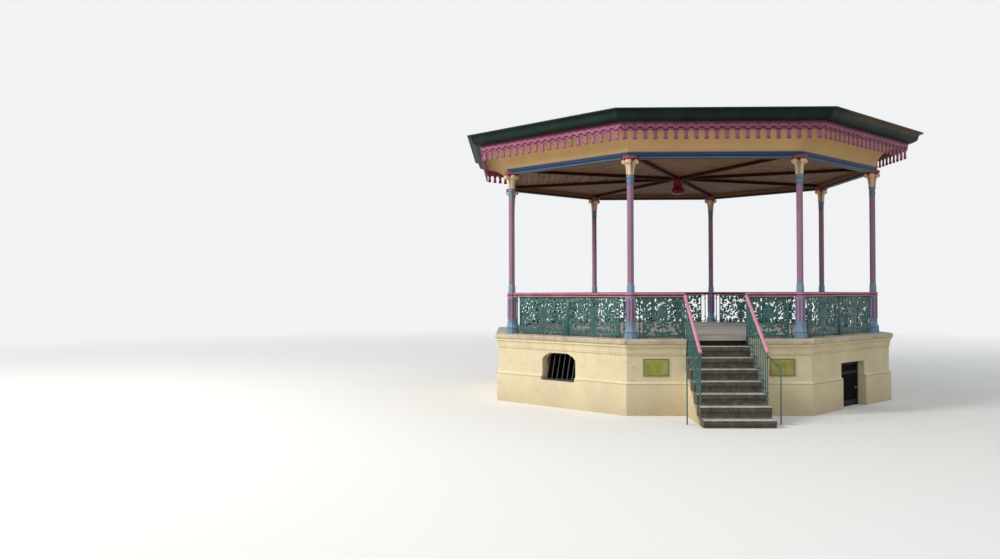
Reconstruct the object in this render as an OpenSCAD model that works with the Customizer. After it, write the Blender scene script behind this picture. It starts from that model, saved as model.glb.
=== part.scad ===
// Octagonal bandstand: rendered plinth, stone stair, cast iron columns and railings, low metal roof.
// Lengths are in millimetres. The origin is at ground level under the middle of the platform.
// The stair stands at the front, which faces -Y. Sides and corners are numbered anticlockwise from above.
// Side 0 is the front, and corner 0 is the corner between sides 0 and 1.

/* [Plan] */
// Distance from the centre to the axis of each column
column_ring_r = 3800; // [3600:10:4100]
// Projection of the plinth wall past the line of the columns
wall_projection = 254; // [200:2:300]
// Thickness of the plinth wall
wall_t = 400; // [340:5:460]
// Distance from the line of the columns back to the edge of the platform floor
floor_setback = 72; // [50:2:100]

/* [Levels] */
// Height of the top of the coping above the ground
coping_top_z = 1290; // [1280:1:1300]
// Rise of the platform floor above the coping
floor_rise = 46; // [20:1:60]
// Height of the capitals' top above the coping
capital_top = 3097; // [2900:1:3300]

/* [Plinth] */
// Thickness of the coping stones
coping_t = 88; // [60:1:110]
// Overhang of the coping past the wall
coping_overhang = 72; // [60:1:90]
// Width of the mortar joint between two coping stones
coping_joint = 4; // [2:0.5:8]
// Height of the top of the base course above the ground
base_course_z = 572; // [500:1:640]
// Projection of the base course past the wall
base_projection = 36; // [20:1:48]
// Height of the moulded band under the coping
cornice_h = 180; // [140:1:200]
// Projection of the top fillet of the moulded band
cornice_projection = 50; // [30:1:58]
// Thickness of the floor slab at its edge
floor_t = 88; // [60:1:110]
// Extra depth of the floor slab inside the walls
floor_downstand = 62; // [40:1:90]

/* [Stair] */
// Rise from one tread to the next
riser = 173.5; // [165:0.5:176]
// Going from one nosing to the next
going = 250; // [244:1:256]
// Number of stone steps below the platform floor
step_count = 7; // [5:1:7]
// Length of the steps across the stair
step_l = 1116; // [1000:2:1160]
// Thickness of the nosing slab at the front of each step
nosing_t = 75; // [50:1:90]
// Overhang of each nosing past the riser under it
nosing_overhang = 22; // [10:1:30]
// Bearing of each step on the one below it
step_bearing = 40; // [30:1:60]
// Mortar joint between two steps
step_joint = 3; // [1:0.5:5]
// Gap on each side between the stair and the wall's jambs
jamb_gap = 2; // [1:0.5:5]

/* [Columns] */
// Width of the columns' foot block across its flats
foot_af = 215; // [200:1:230]
// Height of the foot block
foot_h = 90; // [60:1:110]
// Width of the pedestal across its flats
pedestal_af = 162; // [150:1:170]
// Depth of the recessed panels in the pedestal
panel_depth = 7; // [4:0.5:10]
// Width of the recessed panels in the pedestal
panel_slot_w = 42; // [30:1:48]
// Width of the shaft across its flats
shaft_af = 106; // [96:1:116]
// Height of the capitals
capital_h = 275; // [240:1:300]
// Radius that the capitals' leaves reach
leaf_reach = 148; // [140:1:160]
// Radius of the scroll at the top of each leaf
leaf_scroll_r = 36; // [28:1:40]
// Width of each leaf of a capital
leaf_w = 90; // [70:1:100]
// Width of the block on each capital across its flats
block_af = 262; // [250:1:280]

/* [Railing] */
// Height of the top of the handrail above the coping
rail_top = 785; // [760:1:820]
// Depth of the moulded handrail
rail_h = 70; // [56:1:76]
// Width of the moulded handrail
rail_w = 84; // [70:1:96]
// Distance from a column's axis to the side bar of the first railing panel
panel_inset = 240; // [225:1:260]
// The same distance for the two panels beside the stair
front_panel_inset = 202; // [190:1:240]
// Distance from a column's axis to the turned bar beside it
side_bar_inset = 150; // [140:1:165]
// Height of the panels' lower edge above the coping
panel_bottom = 36; // [30:1:50]
// Width of the flat bars that frame the panels
frame_bar = 26; // [22:1:30]
// Thickness of the cast panels
panel_t = 16; // [12:1:24]
// Width of the scrolls in the panels
scroll_w = 18; // [14:0.5:20]
// Width of a leaf in the railing ornament
spray_w = 44; // [30:1:50]
// Diameter of the turned bars
bar_d = 28; // [22:1:32]

/* [Stair railing] */
// Distance from the end of the steps in to the middle of each stair handrail
stair_rail_inset = 30; // [28:1:60]
// Width of the stair handrails
stair_rail_w = 56; // [44:1:64]
// Depth of the stair handrails
stair_rail_h = 44; // [36:1:52]
// Distance from the lowest tread's nosing back to the first turned bar
step_bar_back = 155; // [150:1:165]
// Length of the stair handrails past the first turned bar
stair_rail_tail = 30; // [24:1:50]
// Width of the post between the stair railing and the front railing
stair_post_w = 30; // [24:1:36]
// Reach of the bent stays outward from the first turned bars
stay_reach = 210; // [190:1:230]
// Drop of the stays' sloping part
stay_drop = 208; // [190:1:230]
// Radius of the bend in the stays
stay_bend_r = 70; // [50:1:90]
// Diameter of the bent stays
stay_d = 22; // [16:1:28]

/* [Eaves] */
// Height of the ring beam from the blocks on the capitals to its top
beam_h = 63; // [50:1:80]
// Height of the block on top of each capital
block_h = 55; // [45:1:65]
// Projection of the ring beam past the line of the columns
beam_projection = 82; // [70:1:95]
// Width of the ring beam
beam_w = 150; // [130:1:180]
// Distance from the line of the columns out to the face of the valance
valance_projection = 596; // [560:1:620]
// Thickness of the valance boards
valance_t = 25; // [20:1:30]
// Height of the pendants' tips above the coping
valance_bottom = 3344; // [3320:1:3370]
// Height of the visible part of the valance
valance_h = 296; // [285:1:305]
// Number of pendants along each side
pendants = 20; // [16:1:22]
// Radius of the hole near each pendant's tip
pendant_hole_r = 8; // [6:0.5:10]
// Projection of the gutter's foot past the valance
gutter_foot = 83; // [70:1:95]
// Projection of the gutter's rim past the valance
gutter_reach = 253; // [240:1:275]
// Height of the gutter
gutter_h = 184; // [170:1:200]
// Wall thickness of the cast gutter
gutter_wall = 10; // [8:0.5:14]

/* [Roof] */
// Slope of the roof in degrees
roof_pitch = 9; // [7:0.5:10]
// Thickness of the roof covering and its boarding
roof_t = 28; // [22:1:40]
// Thickness of the ceiling boarding
ceiling_t = 20; // [16:1:28]
// Width of the ceiling ribs
rib_w = 60; // [50:1:80]
// Depth of the ceiling ribs
rib_h = 58; // [50:1:70]
// Depth of the boss under the middle of the ceiling
boss_h = 352; // [320:1:370]
// Radius of the boss at its widest
boss_r = 138; // [128:1:150]
// Radius of the raised cap on top of the roof
roof_cap_r = 150; // [120:5:200]

/* [Openings in the plinth] */
// Width of the door opening
door_w = 930; // [840:5:1000]
// Height of the top of the door opening above the ground
door_top_z = 820; // [780:1:860]
// Distance from the wall face back to the door
door_setback = 118; // [100:1:140]
// Thickness of the door
door_t = 38; // [30:1:45]
// Width of the door frame's timbers
door_frame_w = 62; // [55:1:75]
// Gap all round between the door and its frame
door_gap = 6; // [5:0.5:8]
// Width of the vent opening
vent_w = 810; // [700:5:860]
// Height of the vent's sill above the ground
vent_sill_z = 478; // [460:1:500]
// Height of the vent's crown above the ground
vent_crown_z = 985; // [960:1:1000]
// Width of the level part of the vent's head
vent_crown_w = 420; // [380:5:460]
// Height of the sloping parts of the vent's head
vent_head_h = 121; // [100:1:140]
// Thickness of the wall's skin round the vent, behind which the opening widens
vent_skin = 150; // [145:1:200]
// Amount by which the opening widens behind the skin
vent_widening = 90; // [60:5:120]
// Number of bars in the vent
vent_bars = 6; // [4:1:7]
// Diameter of the vent's bars
vent_bar_d = 22; // [16:1:28]

/* [Plaques] */
// Width of the plaques beside the stair
plaque_w = 430; // [380:5:460]
// Height of the plaques
plaque_h = 296; // [260:2:320]
// Thickness of the plaques
plaque_t = 12; // [8:1:20]
// Distance from the stair's middle to the middle of each plaque
plaque_x = 1065; // [1030:5:1090]
// Height of the plaques' middle above the ground
plaque_z = 812; // [800:1:830]

/* [Hidden] */

$fn = 48;
eps = 0.01;
sides = 8;
half_turn = 180 / sides;
cos_half = cos(half_turn);
tan_half = tan(half_turn);
fit_gap = 0.3;
seat_gap = 0.1;

// Distances from the centre out to the flat sides
column_line = column_ring_r * cos_half;
side_l = 2 * column_line * tan_half;
wall_out = column_line + wall_projection;
wall_in = wall_out - wall_t;
coping_out = wall_out + coping_overhang;
floor_edge = column_line - floor_setback;
beam_out = column_line + beam_projection;
beam_in = beam_out - beam_w;
valance_out = column_line + valance_projection;
valance_in = valance_out - valance_t;

// Heights above the ground
coping_bottom_z = coping_top_z - coping_t;
floor_top_z = coping_top_z + floor_rise;
floor_bottom_z = floor_top_z - floor_t;
capital_top_z = coping_top_z + capital_top;
block_top_z = capital_top_z + block_h;
beam_top_z = block_top_z + beam_h;
beam_band_z = capital_top_z + seat_gap;
valance_bottom_z = coping_top_z + valance_bottom;
valance_top_z = valance_bottom_z + valance_h;
gutter_top_z = valance_top_z + gutter_h;
rail_top_z = coping_top_z + rail_top;
rail_bottom_z = rail_top_z - rail_h;
eave_z = gutter_top_z - 44;

// Small fixed details
weathering_h = 30;
cornice_bead = 18;
opening_half = step_l / 2 + jamb_gap;
stair_slope = atan(riser / going);
stair_rail_x = step_l / 2 - stair_rail_inset;
stair_post_x = (step_l - stair_post_w) / 2 - jamb_gap;
joint_t = 2;

// Basic shapes

// A wedge of the plan that holds one side, shortened at both mitres by half of a joint
module side_wedge(joint = 0) {
    reach = 2 * column_ring_r;
    translate([0, 0, -reach])
        linear_extrude(3 * reach)
            translate([0, -joint / 2 / sin(half_turn)])
                polygon([[0, 0], [-reach * tan_half, -reach], [reach * tan_half, -reach]]);
}

// Carries a profile of [distance from the centre, height] points along the front side
module front_run(profile, length, x = 0) {
    translate([x, 0, 0])
        rotate([90, 0, -90])
            translate([0, 0, -length / 2])
                linear_extrude(length)
                    polygon(profile);
}

// One side of an octagonal ring, mitred at both ends
module ring_side(side, profile, joint = 0) {
    rotate(side * 360 / sides)
        intersection() {
            front_run(profile, 2 * column_ring_r);
            side_wedge(joint);
        }
}

// Turns what is drawn at the front to another side
module on_side(side) {
    rotate(side * 360 / sides) children();
}

// Moves what is drawn at the origin, facing outward along -Y, to a corner of the column ring
module at_corner(corner) {
    rotate(corner * 360 / sides + half_turn)
        translate([0, -column_ring_r, 0])
            children();
}

// An octagonal bar with a flat facing -Y, given by its width across flats
module oct_prism(af, h) {
    rotate(half_turn) cylinder(d = af / cos_half, h = h, $fn = sides);
}

// An octagonal turning of a profile of [half width across flats, height] points
module oct_turning(profile) {
    rotate(half_turn)
        rotate_extrude($fn = sides)
            polygon([for (p = profile) [p[0] / cos_half, p[1]]]);
}

// A box centred in X and Y that stands on z = 0
module post(size) {
    translate([-size[0] / 2, -size[1] / 2, 0]) cube(size);
}

// Points of an arc about a centre, from one angle to another
function arc(cx, cy, r, a0, a1, n = 6) =
    [for (i = [0:n]) let (a = a0 + (a1 - a0) * i / n) [cx + r * cos(a), cy + r * sin(a)]];

// Plinth

// Section of the plinth wall: base course, plain wall, moulded band, and the ledge under the floor slab
function wall_section() = let (
    top = coping_bottom_z,
    cove_top = top - 38,
    cove_bottom = top - cornice_h + 2 * cornice_bead,
    cove_in = wall_out + cornice_bead
) concat(
    [[wall_in, 0],
     [wall_out + base_projection, 0],
     [wall_out + base_projection, base_course_z - weathering_h],
     [wall_out, base_course_z],
     [wall_out, top - cornice_h]],
    arc(wall_out, cove_bottom - cornice_bead, cornice_bead, -90, 90),
    [for (i = [0:6]) let (a = 90 * i / 6)
        [wall_out + cornice_projection - 6 - (cornice_projection - 6 - cornice_bead) * cos(a),
         cove_bottom + (cove_top - cove_bottom) * sin(a)]],
    [[wall_out + cornice_projection, cove_top],
     [wall_out + cornice_projection, top],
     [floor_edge, top],
     [floor_edge, floor_bottom_z],
     [wall_in, floor_bottom_z]]
);

module wall_side(side) {
    color("#e9dab0") ring_side(side, wall_section());
}

// The front side, cut through where the stair climbs into the platform
module plinth_front_walls() {
    difference() {
        wall_side(0);
        translate([0, -wall_out, -1]) post([2 * opening_half, 2 * wall_t, coping_top_z]);
    }
}

// The side with the door: the wall on both sides of the opening, and the lintel over it
module plinth_door_piers() {
    difference() {
        wall_side(1);
        on_side(1) translate([0, -wall_out, -1]) post([door_w, 2 * wall_t, 2 * coping_top_z]);
    }
}

module plinth_door_lintel() {
    intersection() {
        wall_side(1);
        on_side(1)
            translate([0, -wall_out, door_top_z])
                post([door_w, 2 * wall_t, coping_top_z]);
    }
}

module plinth_right_wall() wall_side(2);
module plinth_back_right_wall() wall_side(3);
module plinth_back_wall() wall_side(4);
module plinth_back_left_wall() wall_side(5);
module plinth_left_wall() wall_side(6);

// Outline of the vent: straight jambs, a sloping head bent at its haunches, and a flat sill
vent_shoulder_z = vent_crown_z - vent_head_h;
vent_haunch_x = vent_crown_w / 2 + 0.69 * (vent_w - vent_crown_w) / 2;
vent_haunch_z = vent_crown_z - 0.49 * vent_head_h;
function vent_outline(grow = 0) = [
    [-vent_w / 2 - grow, vent_sill_z],
    [vent_w / 2 + grow, vent_sill_z],
    [vent_w / 2 + grow, vent_shoulder_z],
    [vent_haunch_x + grow, vent_haunch_z],
    [vent_crown_w / 2 + grow, vent_crown_z + grow],
    [-vent_crown_w / 2 - grow, vent_crown_z + grow],
    [-vent_haunch_x - grow, vent_haunch_z],
    [-vent_w / 2 - grow, vent_shoulder_z]
];

// Height of the vent's head at a distance from its middle, out to the haunches
function vent_head_z(x) = vent_crown_z - max(0, abs(x) - vent_crown_w / 2)
    * (vent_crown_z - vent_haunch_z) / (vent_haunch_x - vent_crown_w / 2);

// The opening, narrow in the wall's outer skin and wider behind it
module vent_cutter() {
    translate([0, -wall_out + wall_t, 0])
        rotate([90, 0, 0]) {
            linear_extrude(2 * wall_t) polygon(vent_outline());
            linear_extrude(wall_t - vent_skin) polygon(vent_outline(vent_widening));
        }
}

module plinth_vent_wall() {
    difference() {
        wall_side(7);
        on_side(7) vent_cutter();
    }
}

// Bars that lean back into the opening, between a rail on the sill and a rail under the head
module vent_grille() {
    rail = 30;
    foot_back = rail / 2 + 5;
    head_back = vent_skin - rail / 2 - 10;
    foot_z = vent_sill_z + fit_gap;
    head_z = vent_crown_z - fit_gap - rail;
    lean = atan((head_back - foot_back) / (head_z - foot_z - rail));
    pitch = vent_w / (vent_bars + 0.6);
    color("#3a3c3c")
        on_side(7) {
            translate([0, -wall_out + foot_back, foot_z])
                post([vent_w - 2 * fit_gap, rail, rail]);
            translate([0, -wall_out + head_back, head_z])
                post([vent_crown_w - 2 * fit_gap, rail, rail]);
            for (i = [0:vent_bars - 1])
                let (x = (i - (vent_bars - 1) / 2) * pitch,
                     top = min(head_z, vent_head_z(abs(x) + vent_bar_d) - vent_bar_d))
                translate([x, -wall_out + foot_back, foot_z + rail - 3])
                    rotate([-lean, 0, 0])
                        cylinder(d = vent_bar_d, h = (top + 3 - foot_z - rail + 3) / cos(lean));
        }
}

// Coping stones: rounded at the front, one to a side, and two beside the stair
function coping_section() = concat(
    [[floor_edge + fit_gap, coping_bottom_z], [coping_out - 20, coping_bottom_z]],
    arc(coping_out - 20, coping_bottom_z + 20, 20, -90, 0, 3),
    arc(coping_out - 30, coping_top_z - 30, 30, 0, 90, 4),
    [[floor_edge + fit_gap, coping_top_z]]
);

module coping() {
    color("#b9aa91")
        difference() {
            for (side = [0:sides - 1]) ring_side(side, coping_section(), coping_joint);
            translate([0, -wall_out, 0]) post([2 * opening_half, 4 * wall_t, 2 * coping_top_z]);
        }
}

// Floor slab: its corners are notched for the columns' feet, and its deeper middle sits inside the walls
notch_gap = 2;
module platform_floor() {
    color("#b4b0a8") {
        difference() {
            translate([0, 0, floor_bottom_z + seat_gap])
                oct_prism(2 * floor_edge, floor_t - seat_gap);
            for (corner = [0:sides - 1])
                at_corner(corner)
                    translate([0, 0, coping_top_z - notch_gap])
                        oct_prism(foot_af + 2 * notch_gap, floor_t);
        }
        translate([0, 0, floor_bottom_z - floor_downstand])
            oct_prism(2 * (wall_in - fit_gap), floor_downstand + 1);
    }
}

module plaques() {
    color("#7d8a34")
        for (x = [-plaque_x, plaque_x])
            translate([x, -wall_out - plaque_t, plaque_z - plaque_h / 2])
                translate([-plaque_w / 2, 0, 0])
                    cube([plaque_w, plaque_t, plaque_h]);
}

// Store door

door_frame_d = 70;
hinge_r = 7;
pin_r = 3.5;
knuckle_h = 30;
door_leaf_w = door_w - 2 * door_frame_w - 2 * door_gap;
door_sill_gap = 14;
door_leaf_top = door_top_z - door_frame_w - door_gap;
door_leaf_h = door_leaf_top - door_sill_gap;
hinge_x = -door_w / 2 + door_frame_w + door_gap / 2;
hinge_y = -wall_out + door_setback - hinge_r - 1;
hinge_zs = [0.2 * door_leaf_top, 0.82 * door_leaf_top];

// Frame of two posts and a head, set back in the opening, with the pins and lower knuckles of the hinges
module door_frame() {
    frame_y = -wall_out + door_setback;
    color("#17171a")
        on_side(1) {
            for (m = [0, 1]) mirror([m, 0, 0])
                translate([-door_w / 2 + fit_gap, frame_y, 0])
                    cube([door_frame_w - fit_gap, door_frame_d, door_top_z - fit_gap]);
            translate([-door_w / 2 + door_frame_w - 1, frame_y, door_top_z - door_frame_w])
                cube([door_w - 2 * door_frame_w + 2, door_frame_d, door_frame_w - fit_gap]);
            for (z = hinge_zs) {
                translate([hinge_x, hinge_y, z - knuckle_h]) {
                    cylinder(r = hinge_r, h = knuckle_h);
                    cylinder(r = pin_r, h = 2 * knuckle_h);
                }
                translate([hinge_x - 24, hinge_y + hinge_r - 3, z - knuckle_h])
                    cube([24, 4, knuckle_h]);
            }
        }
}

// Boarded door with two ledges behind it and the upper knuckles of its hinges
module store_door() {
    leaf_x = -door_w / 2 + door_frame_w + door_gap;
    leaf_y = -wall_out + door_setback;
    color("#101114")
        on_side(1) {
            translate([leaf_x, leaf_y, door_sill_gap])
                cube([door_leaf_w, door_t, door_leaf_h]);
            for (z = hinge_zs)
                difference() {
                    union() {
                        translate([hinge_x, hinge_y, z + 0.5]) cylinder(r = hinge_r, h = knuckle_h - 0.5);
                        translate([hinge_x, hinge_y + hinge_r - 3, z + 0.5])
                            cube([40, 4, knuckle_h - 0.5]);
                    }
                    translate([hinge_x, hinge_y, z - 1]) cylinder(r = pin_r + 0.25, h = knuckle_h + 3);
                }
        }
}

// Turned knob near the free edge of the door
module door_knob() {
    knob_x = door_w / 2 - door_frame_w - 60;
    color("#6b6a66")
        on_side(1)
            translate([knob_x, -wall_out + door_setback, 322])
                rotate([90, 0, 0])
                    rotate_extrude()
                        polygon(concat(
                            [[0, 0.3], [24, 0.3], [24, 5], [10, 8], [9, 22]],
                            arc(0, 38, 21, -50, 88, 8),
                            [[0, 59]]));
}

// Stair

function step_top_z(k) = floor_top_z - k * riser;
function nosing_d(k) = floor_edge + k * going;

// Stepped outline of the masonry, from the inner face of the wall out to the lowest step
function stair_profile() = concat(
    [[wall_in, 0], [wall_in, floor_bottom_z], [floor_edge - nosing_overhang, floor_bottom_z]],
    [for (k = [1:step_count]) let (
        d = k == 1 ? floor_edge - nosing_overhang : nosing_d(k - 1) - step_bearing - step_joint,
        seat = k == step_count ? 0 : step_top_z(k + 1) + step_joint
    ) [d, seat]]
);

// Masonry under the stair, stepped to carry each stone
module stair_base() {
    color("#e2d3aa") front_run(stair_profile(), step_l);
}

module stair_steps() {
    color("#4b4842")
        for (k = [1:step_count]) step_stone(k);
}

module step_stone(k) {
    back = k == 1 ? nosing_d(0) - nosing_overhang + fit_gap : nosing_d(k - 1) - step_bearing;
    front = nosing_d(k);
    top = step_top_z(k);
    seat = k == step_count ? 0 : step_top_z(k + 1) + step_joint;
    r = 14;
    front_run(concat(
        [[back, seat], [front - nosing_overhang, seat], [front - nosing_overhang, top - nosing_t],
         [front - 4, top - nosing_t], [front, top - nosing_t + 4]],
        arc(front - r, top - r, r, 0, 90, 4),
        [[back, top]]), step_l);
}

// Turned iron bar with knobs and a collar at its head, standing on z = 0
module turned_bar(h, collar = 6) {
    r = bar_d / 2;
    k1 = 0.12 * h;
    k2 = 0.24 * h;
    rotate_extrude($fn = 24)
        polygon(concat(
            [[0, 0], [r * 1.5, 0], [r * 1.5, 8], [r * 0.8, 16]],
            knob_points(k1, r),
            knob_points(k2, r),
            [[r * 0.72, k2 + 4 * r]],
            knob_points(h - k1, r),
            [[r * 0.8, h - collar - 8], [r * 1.3, h - collar], [r * 1.3, h], [0, h]]));
}
knob_swell = 1.45;
function knob_points(z, r) = [
    [r * 0.75, z - 1.6 * r], [r * 1.25, z - r], [r * knob_swell, z], [r * 1.25, z + r], [r * 0.75, z + 1.6 * r]
];

// Height of the underside of the stair handrail at a distance from the centre
stair_rail_start = column_line;
function stair_rail_z(d) = rail_top_z - stair_rail_h / cos(stair_slope) - (d - stair_rail_start) * riser / going;

// Two bars to a tread, counted from the foot of the stair
bar_spacing = going / 2;
function bar_at(j) = nosing_d(step_count - 1) - step_bar_back - j * bar_spacing;
bars_a_side = 1 + floor((bar_at(0) - column_line - stair_post_w) / bar_spacing);

module stair_bars(x) {
    color("#3f6f6a")
        for (j = [0:bars_a_side - 1])
            let (d = bar_at(j), foot = step_top_z(ceil((d - floor_edge) / going)) + fit_gap)
            translate([x, -d, foot])
                bar_to_slope(stair_rail_z(d) - foot - fit_gap);
}

// A turned bar whose head is cut to the slope of the handrail above it
module bar_to_slope(h) {
    extra = bar_d * tan(stair_slope);
    difference() {
        turned_bar(h + extra, 2 * extra);
        translate([0, 0, h])
            rotate([stair_slope, 0, 0])
                translate([-2 * bar_d, -2 * bar_d, 0])
                    cube([4 * bar_d, 4 * bar_d, 3 * bar_d]);
    }
}

module stair_bars_left() stair_bars(-stair_rail_x);
module stair_bars_right() stair_bars(stair_rail_x);

// Rounded handrail section, centred on x = 0 with its underside on y = 0
function stair_rail_section() = let (r = stair_rail_h / 2) concat(
    [[-stair_rail_w / 2 + 8, 0], [stair_rail_w / 2 - 8, 0], [stair_rail_w / 2, 10]],
    arc(0, stair_rail_h - stair_rail_w / 2, stair_rail_w / 2, 10, 170, 10),
    [[-stair_rail_w / 2, 10]]
);

module stair_handrails() {
    run = bar_at(0) + stair_rail_tail - stair_rail_start;
    color("#d78ca5")
        difference() {
            for (x = [-stair_rail_x, stair_rail_x])
                translate([x, -stair_rail_start, stair_rail_z(stair_rail_start)])
                    rotate([90 + stair_slope, 0, 0])
                        linear_extrude(run / cos(stair_slope))
                            polygon(stair_rail_section());
            translate([0, -column_line + 2 * rail_w - rail_w / 2 - fit_gap, rail_top_z - 4 * rail_h])
                post([4 * stair_rail_x, 4 * rail_w, 8 * rail_h]);
        }
}

// Stays from the first turned bars, out under the handrails and down to the ground in a round bend
module stair_stays() {
    top_z = stair_rail_z(bar_at(0)) - 45;
    a = atan(stay_reach / stay_drop);
    bend_z = top_z - stay_drop - stay_bend_r * tan(a / 2);
    color("#3f6f6a")
        for (m = [0, 1]) mirror([m, 0, 0])
            translate([stair_rail_x, -bar_at(0), 0])
                difference() {
                    union() {
                        translate([stay_reach, 0, 0]) cylinder(d = stay_d, h = bend_z);
                        translate([stay_reach - stay_bend_r, 0, bend_z]) {
                            rotate([90, 0, 0])
                                rotate_extrude(angle = a)
                                    translate([stay_bend_r, 0]) circle(d = stay_d);
                            rotate([0, -a, 0])
                                translate([stay_bend_r, 0, 0]) {
                                    sphere(d = stay_d + 3);
                                    cylinder(d = stay_d, h = stay_drop / cos(a) - stay_bend_r * tan(a / 2));
                                }
                        }
                    }
                    // The upper end is hollowed to meet the knob near the bar's head
                    translate([0, 0, top_z - stay_drop / 2])
                        cylinder(r = knob_swell * bar_d / 2 + fit_gap, h = stay_drop);
                }
}

// Columns

// Octagonal core from the foot block to the collar under the capital
function column_profile() = let (
    p = pedestal_af / 2,
    s = shaft_af / 2,
    flare_z = foot_h + 20,
    flare_top = 190,
    panel_z = 277,
    neck_z = capital_top - capital_h
) [
    [0, 0], [foot_af / 2, 0], [foot_af / 2, foot_h - 6], [foot_af / 2 - 6, foot_h],
    [foot_af / 2 - 12, foot_h + 4], [foot_af / 2 - 12, foot_h + 12], [foot_af / 2 + 1, flare_z],
    [foot_af / 2 + 1, flare_z + 10],
    [p + 14, flare_z + 28], [p + 1, flare_z + 50], [p - 6, flare_top],
    [p - 6, panel_z - 6], [p, panel_z],
    [p, rail_top - rail_h - fit_gap],
    [p + 6, rail_top - rail_h], [p + 6, rail_top],
    [s + 9, rail_top + 8], [s + 9, 905], [s + 2, 940], [s, 944],
    [s, neck_z - 118], [s + 8, neck_z - 112], [s + 8, neck_z - 96], [s + 2, neck_z - 90],
    [s + 2, neck_z - 40], [s + 12, neck_z - 34], [s + 12, neck_z - 16], [s + 4, neck_z - 10],
    [s + 4, neck_z + 20], [s - 2, neck_z + 60], [s + 6, capital_top - 60], [s + 40, capital_top - 14],
    [s + 40, capital_top], [0, capital_top]
];

// Side view of one leaf of the capital: a stem that swells, bends outward and ends in a scroll
module capital_leaf() {
    r0 = shaft_af / 2 - 6;
    base = capital_top - capital_h;
    scroll_x = leaf_reach - leaf_scroll_r;
    scroll_z = capital_top - leaf_scroll_r - 4;
    rotate([90, 0, 0])
        translate([0, 0, -leaf_w / 2])
            linear_extrude(leaf_w) {
                polygon(concat(
                    [[r0, base], [r0 + 18, base]],
                    [for (i = [0:6]) let (t = i / 6)
                        [r0 + 18 + (scroll_x - r0 - 8) * pow(t, 2.6), base + 20 + (scroll_z - base - 10) * t]],
                    [[scroll_x, capital_top - 4], [r0, capital_top - 4]]));
                translate([scroll_x, scroll_z]) circle(r = leaf_scroll_r, $fn = 24);
            }
}

leaf_count = 4;
module column(corner) {
    slot_z = 284;
    slot_h = rail_top - rail_h - 38 - slot_z;
    at_corner(corner)
        translate([0, 0, coping_top_z + seat_gap]) {
            difference() {
                color("#8fa9c4") oct_turning(column_profile());
                for (i = [0:sides - 1])
                    rotate(i * 360 / sides)
                        translate([0, -pedestal_af / 2 - 1, slot_z])
                            post([panel_slot_w, 2 * (panel_depth + 1), slot_h]);
            }
            for (i = [0:leaf_count - 1])
                rotate(i * 360 / leaf_count - 90) color("#dcc7a0") capital_leaf();
            color("#d27c9c") translate([0, 0, capital_top]) oct_prism(block_af, block_h - 2 * seat_gap);
        }
}

// Railing

// Points on both sides of a line of points, at a half width that changes along it
function ribbon(pts, w0, w1) = let (
    n = len(pts),
    dir = [for (i = [0:n - 1]) let (
        a = pts[max(i - 1, 0)], b = pts[min(i + 1, n - 1)], v = b - a) v / norm(v)],
    w = [for (i = [0:n - 1]) (w0 + (w1 - w0) * i / (n - 1)) / 2]
) concat(
    [for (i = [0:n - 1]) pts[i] + w[i] * [-dir[i][1], dir[i][0]]],
    [for (i = [n - 1:-1:0]) pts[i] - w[i] * [-dir[i][1], dir[i][0]]]
);

// Points of a spiral about a centre, from one radius and angle to another
function spiral(c, r0, r1, a0, a1, n) =
    [for (i = [0:n]) let (t = i / n, a = a0 + (a1 - a0) * t, r = r0 + (r1 - r0) * t)
        [c[0] + r * cos(a), c[1] + r * sin(a)]];

// Points of a smooth curve with two handles
function curve(a, b, c, d, n = 5) =
    [for (i = [0:n]) let (t = i / n, u = 1 - t)
        a * u * u * u + b * 3 * u * u * t + c * 3 * u * t * t + d * t * t * t];

module stroke(pts, w0, w1) {
    polygon(ribbon(pts, w0, w1));
}

// Pointed leaf from a foot along a direction
module leaf(foot, a, l, w) {
    translate(foot)
        rotate(a)
            polygon([[0, -4], [0.4 * l, -0.5 * w], [l, 0], [0.4 * l, 0.5 * w], [0, 4]]);
}

// Leaves that grow from every second point of a line, at an angle to its direction
module sprays(pts, first, last, l, tilt) {
    for (i = [first:2:last])
        let (d = pts[i + 1] - pts[i - 1])
        leaf(pts[i], atan2(d[1], d[0]) + tilt, l, spray_w);
}

// Pointed petals round a middle
module flower(c, r, petals) {
    for (i = [0:petals - 1])
        translate(c)
            rotate(360 * (i + 0.5) / petals)
                polygon([[0, -0.2 * r], [r, 0], [0, 0.2 * r]]);
}

// A stem from a foot on the middle line that ends in a scroll; a positive sweep goes round to the left
stem_steps = 4;
turn_steps = 8;
scroll_sweep = 390;
module stem_scroll(foot, pull, c, r, start, sweep) {
    s = sign(sweep);
    from = c + r * [cos(start), sin(start)];
    stem = curve(foot, foot + pull, from - 0.8 * r * s * [-sin(start), cos(start)], from, stem_steps);
    turns = spiral(c, r, 0.2 * r, start, start + sweep, turn_steps);
    stroke(concat(stem, [for (i = [1:turn_steps]) turns[i]]), scroll_w, scroll_w);
    translate(c) circle(r = 0.3 * r, $fn = 5);
    sprays(stem, 1, stem_steps - 1, 0.85 * r, 50 * s);
    sprays(turns, 1, turn_steps / 2, 0.66 * r, -50 * s);
}

// Half of the wide panel's ornament, to the right of its middle, on a half width and a height
module wide_half(w, h) {
    low = 122;
    stem_scroll([0, 60], [90, -50], [w - low, low], low - 2, -90, scroll_sweep);
    stem_scroll([0, 250], [120, 60], [w - 150, h - 138], 118, 200, -scroll_sweep);
    stem_scroll([0, 300], [40, 90], [188, h - 132], 84, 165, -scroll_sweep);
    stem_scroll([0, 165], [120, -30], [w - 298, 215], 84, 180, scroll_sweep);
    // Small scroll against the frame and leaves from the frame inwards
    stroke(spiral([w - 50, h / 2], 56, 14, 0, -330, 7), scroll_w, scroll_w);
    for (z = [0, h]) leaf([w, z], z > 0 ? 220 : 140, 104, spray_w);
    leaf([w - 300, h], -92, 190, 1.4 * spray_w);
}

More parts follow.
